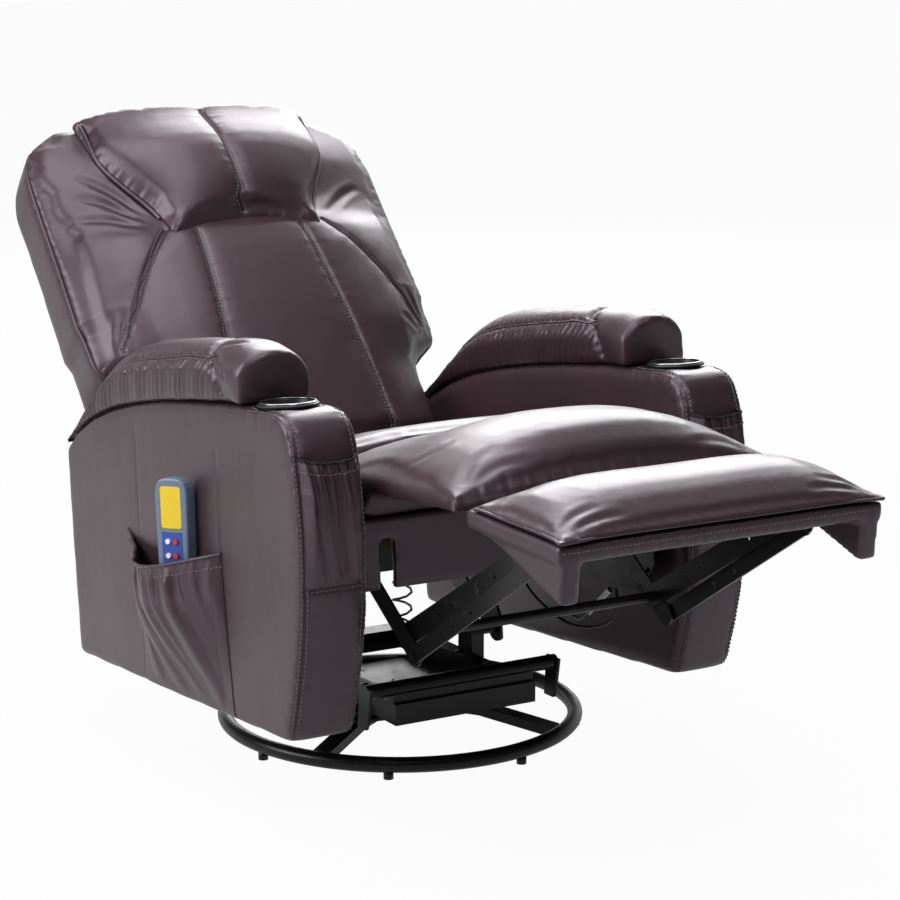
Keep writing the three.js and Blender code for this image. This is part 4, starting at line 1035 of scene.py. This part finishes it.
# %% Ring base
TURN = math.radians(-11)
RING = {"radius": 0.291, "tube": 0.0125, "height": 0.0225, "feet": 8, "foot": 0.008, "foot_height": 0.014}


def ring_growth():
    g = Growth("Ring base", Tube_radius=0.01, Foot_radius=0.008, Foot_height=0.014, Drop=0.02)
    section = g.node("GeometryNodeCurvePrimitiveCircle", Radius=g.given["Tube radius"], Resolution=20)
    smooth_path = g.node("GeometryNodeResampleCurve", Curve=g.given["Path"], Count=160)
    swept = g.node("GeometryNodeCurveToMesh", Curve=smooth_path, Profile_Curve=section)
    spots = g.node("GeometryNodeResampleCurve", Curve=g.given["Path"], Count=RING["feet"])
    foot = g.node("GeometryNodeMeshCylinder", Vertices=20, Radius=g.given["Foot radius"],
                  Depth=g.given["Foot height"])
    below = g.node("ShaderNodeCombineXYZ", X=0.0, Y=0.0, Z=g.given["Drop"])
    lowered = g.node("GeometryNodeTransform", Geometry=foot, Translation=below)
    feet = g.node("GeometryNodeInstanceOnPoints", Points=spots, Instance=lowered)
    return g.done(g.joined(swept, feet))


angles = TURN + math.pi / 8 + np.linspace(0, math.tau, 160, endpoint=False)
circle = np.column_stack([CENTRE[0] + RING["radius"] * np.cos(angles),
                          CENTRE[1] + RING["radius"] * np.sin(angles), np.full(160, RING["height"])])
drop = RING["foot_height"] / 2 - RING["height"]
ring_line = drawn_curve("ring", [circle], closed=True)
base_ring = ring_growth().grow("ring base", ring_line, "base", paint, "painted_steel", Drop=drop,
                               Tube_radius=RING["tube"], Foot_radius=RING["foot"],
                               Foot_height=RING["foot_height"])
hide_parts("base_ring")


# %% Cup holders
def turned(name, profile, centre, body, slot, segments=64):
    """A closed profile of radius and height in millimetres, turned about an upright axis of the drawing."""
    count = len(profile)
    co, faces = [], []
    for k in range(segments):
        a = math.tau * k / segments
        co += [(centre[0] + r * math.cos(a), centre[1] + r * math.sin(a), h) for r, h in profile]
        nxt = (k + 1) % segments
        faces += [(k * count + i, nxt * count + i, nxt * count + (i + 1) % count, k * count + (i + 1) % count)
                  for i in range(count)]
    mesh = meshed(name, place(co).tolist(), faces)
    mended(mesh, 1e-6)
    obj = new_object(name, mesh, finish_of[slot])
    edge = obj.modifiers.new("soft edges", "BEVEL")
    edge.width = 0.0006
    edge.segments = 2
    apply_modifiers(obj)
    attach(obj, body)
    return obj


CUP = {"x": 348, "y": -312, "radius": 40, "flange": 46, "depth": 72}
cup_rim = float(arm_top(CUP["y"])) + 1.6
low_z, r, rim_r = cup_rim - CUP["depth"], CUP["radius"], CUP["flange"]
TUB = [(0, low_z), (r - 4, low_z), (r, low_z + 4), (r, cup_rim), (rim_r, cup_rim), (rim_r, cup_rim + 2.4),
       (rim_r - 2, cup_rim + 4), (r - 2, cup_rim + 4), (r - 2, low_z + 6), (r - 5, low_z + 3), (0, low_z + 3)]
LINER = [(r - 1.5, cup_rim + 4.3), (r + 3, cup_rim + 4.3), (r + 3, cup_rim + 5.5), (r + 1.5, cup_rim + 6.5),
         (r - 1.5, cup_rim + 6.5)]
for side, sign in SIDES:
    tub = turned(f"cup tub {side}", TUB, (sign * CUP["x"], CUP["y"]), "chassis", "black_plastic")
    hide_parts(f"cup_holder_{side}")
    liner = turned(f"cup liner {side}", LINER, (sign * CUP["x"], CUP["y"]), "chassis", "bright_ring")
    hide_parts(f"cup_ring_{side}")


# %% [markdown]
# Bolts and rivets repeat all over a mechanism. One tree sets a domed head on a washer at each given point,
# and the side it faces is an input.

# %% Bolts and rivets
def head_growth():
    g = Growth("Domed heads on washers", Head=0.006, Rise=0.003, Facing=(0.0, 0.0, 1.0))
    washer = g.node("GeometryNodeMeshCylinder", Vertices=16, Radius=1.45, Depth=0.5)
    dome = g.node("GeometryNodeMeshUVSphere", Segments=12, Rings=6, Radius=1.0)
    size = g.node("ShaderNodeCombineXYZ", X=g.given["Head"], Y=g.given["Head"], Z=g.given["Rise"])
    head = g.node("GeometryNodeTransform", Geometry=g.joined(washer, dome), Scale=size)
    turn = g.node("FunctionNodeAlignRotationToVector", settings={"axis": "Z"}, Vector=g.given["Facing"])
    return g.done(g.node("GeometryNodeInstanceOnPoints", Points=g.given["Path"], Instance=head,
                         Rotation=turn))


head_tree = head_growth()


def heads(name, places, body, **sizes):
    holder = linked(name + " points", meshed(name + " points", places, []))
    head_tree.grow(name, holder, body, paint, "painted_steel", **sizes)


ROCKER_TOP = 117.9
spots = [level((x, y, ROCKER_TOP)) for x in (-115, 115) for y in (-196, -90, 0, 90, 140)]
heads("rocker bolts", spots, "swivel", Facing=(0.0, 0.0, 1.0), Head=0.0055, Rise=0.0035)
PLATE_FACE = 264.9  # inner face of the mechanism's side plates
screws = [(-340, 320), (-340, 285), (-250, 300), (-180, 345), (-60, 392), (60, 400), (90, 372), (-290, 392)]
for side, sign in SIDES:
    places = [place((sign * PLATE_FACE, y, z)) for y, z in screws]
    inward = (-float(sign), 0.0, 0.0)
    heads(f"side plate {side} bolts", places, "chassis", Facing=inward, Head=0.005, Rise=0.0032)

# %% [markdown]
# ## The leg pad
# The leg pad can't fold with the links. Here it is given a mesh of its own.

# %% The leg pad's own mesh
forward = place([0, -1, 0]) - place([0, 0, 0])
place([0, -280, 500]).tolist()
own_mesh(leg_pad)

# %% [markdown]
# ## The studio
# The chair stands on a white floor in a white room, as in a catalogue. White all round would wash the dark
# leather out, so only the wall behind the chair is bright: the rest of the room is a dim grey, and the
# light comes from large soft panels above, to the left, in front and far behind. The camera sees white
# wherever it looks past the chair, while the steel mirrors a floor that is only part as bright.


# %% Room, floor and lights
def area_light(name, place_at, target, size, power):
    lamp = bpy.data.lights.new(name, "AREA")
    lamp.shape = "DISK"
    lamp.size = size
    lamp.energy = power
    obj = linked(name, lamp)
    obj.location = place_at
    obj.rotation_euler = (Vector(target) - Vector(place_at)).to_track_quat("-Z", "Y").to_euler()


WALL = (0.515, 0.857)  # the way from the camera to the wall behind the chair
ROOM, WALL_LIGHT, WALL_SHEEN = 0.10, 0.50, 0.35  # strength of the room, of the wall, and of the wall mirrored
FLOOR_SEEN, FLOOR_MIRRORED = 0.96, 0.40  # how white the floor looks itself and in a mirror
LAMPS = {  # where each hangs, what it faces, its width in metres and its power in watts
    "overhead": ((-0.4, 0.3, 3.0), (0, -0.1, 0.5), 2.0, 40),
    "left": ((-3.0, 0.6, 1.9), (0, 0, 0.5), 2.4, 92),
    "front": ((-0.5, -2.1, 3.1), (0, -0.2, 0.5), 1.4, 38),
    "behind": ((3.6, 4.6, 4.3), (0, -0.6, 0.5), 5.0, 430),
}


def seen_white(n):
    """Two masks: 1 for what the camera sees itself or through glass, and 1 for what it sees mirrored."""
    rays = n.tree.nodes.new("ShaderNodeLightPath")
    ray = {out.name: Value(n.tree, out) for out in rays.outputs}
    return ray["Is Camera Ray"] + ray["Is Transmission Ray"], ray["Is Glossy Ray"]


world = bpy.data.worlds.new("studio")
scene.world = world
world.use_nodes = True
room = Nodes(world.node_tree)
x, y, z = room.axes(room.node("ShaderNodeTexCoord", output="Generated"))
toward = ((x * WALL[0] + y * WALL[1]) * 1.5 - 0.5).clamped()
wall = toward * (1.0 - z.math("ABSOLUTE") * 0.6).clamped()
seen, glossy = seen_white(room)
backdrop = world.node_tree.nodes["Background"]
backdrop.inputs["Color"].default_value = (1, 1, 1, 1)
brightness = ROOM + wall * WALL_LIGHT + seen + glossy * wall * WALL_SHEEN
feed(world.node_tree, backdrop.inputs["Strength"], brightness.math("MINIMUM", 1.0))

floor_finish = Finish("studio floor", (0.50, 0.50, 0.50), 0.9, Specular_IOR_Level=0.1)
seen, glossy = seen_white(floor_finish)
glow = floor_finish.node("ShaderNodeEmission", Color=(1, 1, 1, 1), Strength=1.0)
both = floor_finish.tree.nodes.new("ShaderNodeMixShader")
feed(floor_finish.tree, both.inputs[0], (seen * FLOOR_SEEN + glossy * FLOOR_MIRRORED).clamped())
floor_finish.tree.links.new(floor_finish.shader.outputs[0], both.inputs[1])
feed(floor_finish.tree, both.inputs[2], glow)
output = next(n for n in floor_finish.tree.nodes if n.type == "OUTPUT_MATERIAL")
floor_finish.tree.links.new(both.outputs[0], output.inputs["Surface"])
floor_mesh = meshed("floor", [(-40, -40, 0), (40, -40, 0), (40, 40, 0), (-40, 40, 0)], [(0, 1, 2, 3)])
floor_mesh.materials.append(floor_finish.material)
floor = linked("floor", floor_mesh)

for name, settings in LAMPS.items():
    area_light(name, *settings)

# %% Camera
TILT, RISE, AWAY, ROLL = math.radians(-31.0085), math.radians(11.5311), 4.0359, math.radians(0.1374)
target = Vector((-0.0022 + CENTRE[0], -0.1628 + CENTRE[1], 0.4923))
behind = Vector((math.sin(TILT) * math.cos(RISE), -math.cos(TILT) * math.cos(RISE), math.sin(RISE)))
camera_data = bpy.data.cameras.new("camera")
camera_data.sensor_width = 36
camera_data.lens = 102.33
camera = linked("camera", camera_data)
camera.location = target + behind * AWAY
camera.rotation_euler = (-behind).to_track_quat("-Z", "Y").to_euler()
camera.rotation_euler.rotate_axis("Z", ROLL)
scene.camera = camera
scene.view_settings.view_transform = "Standard"
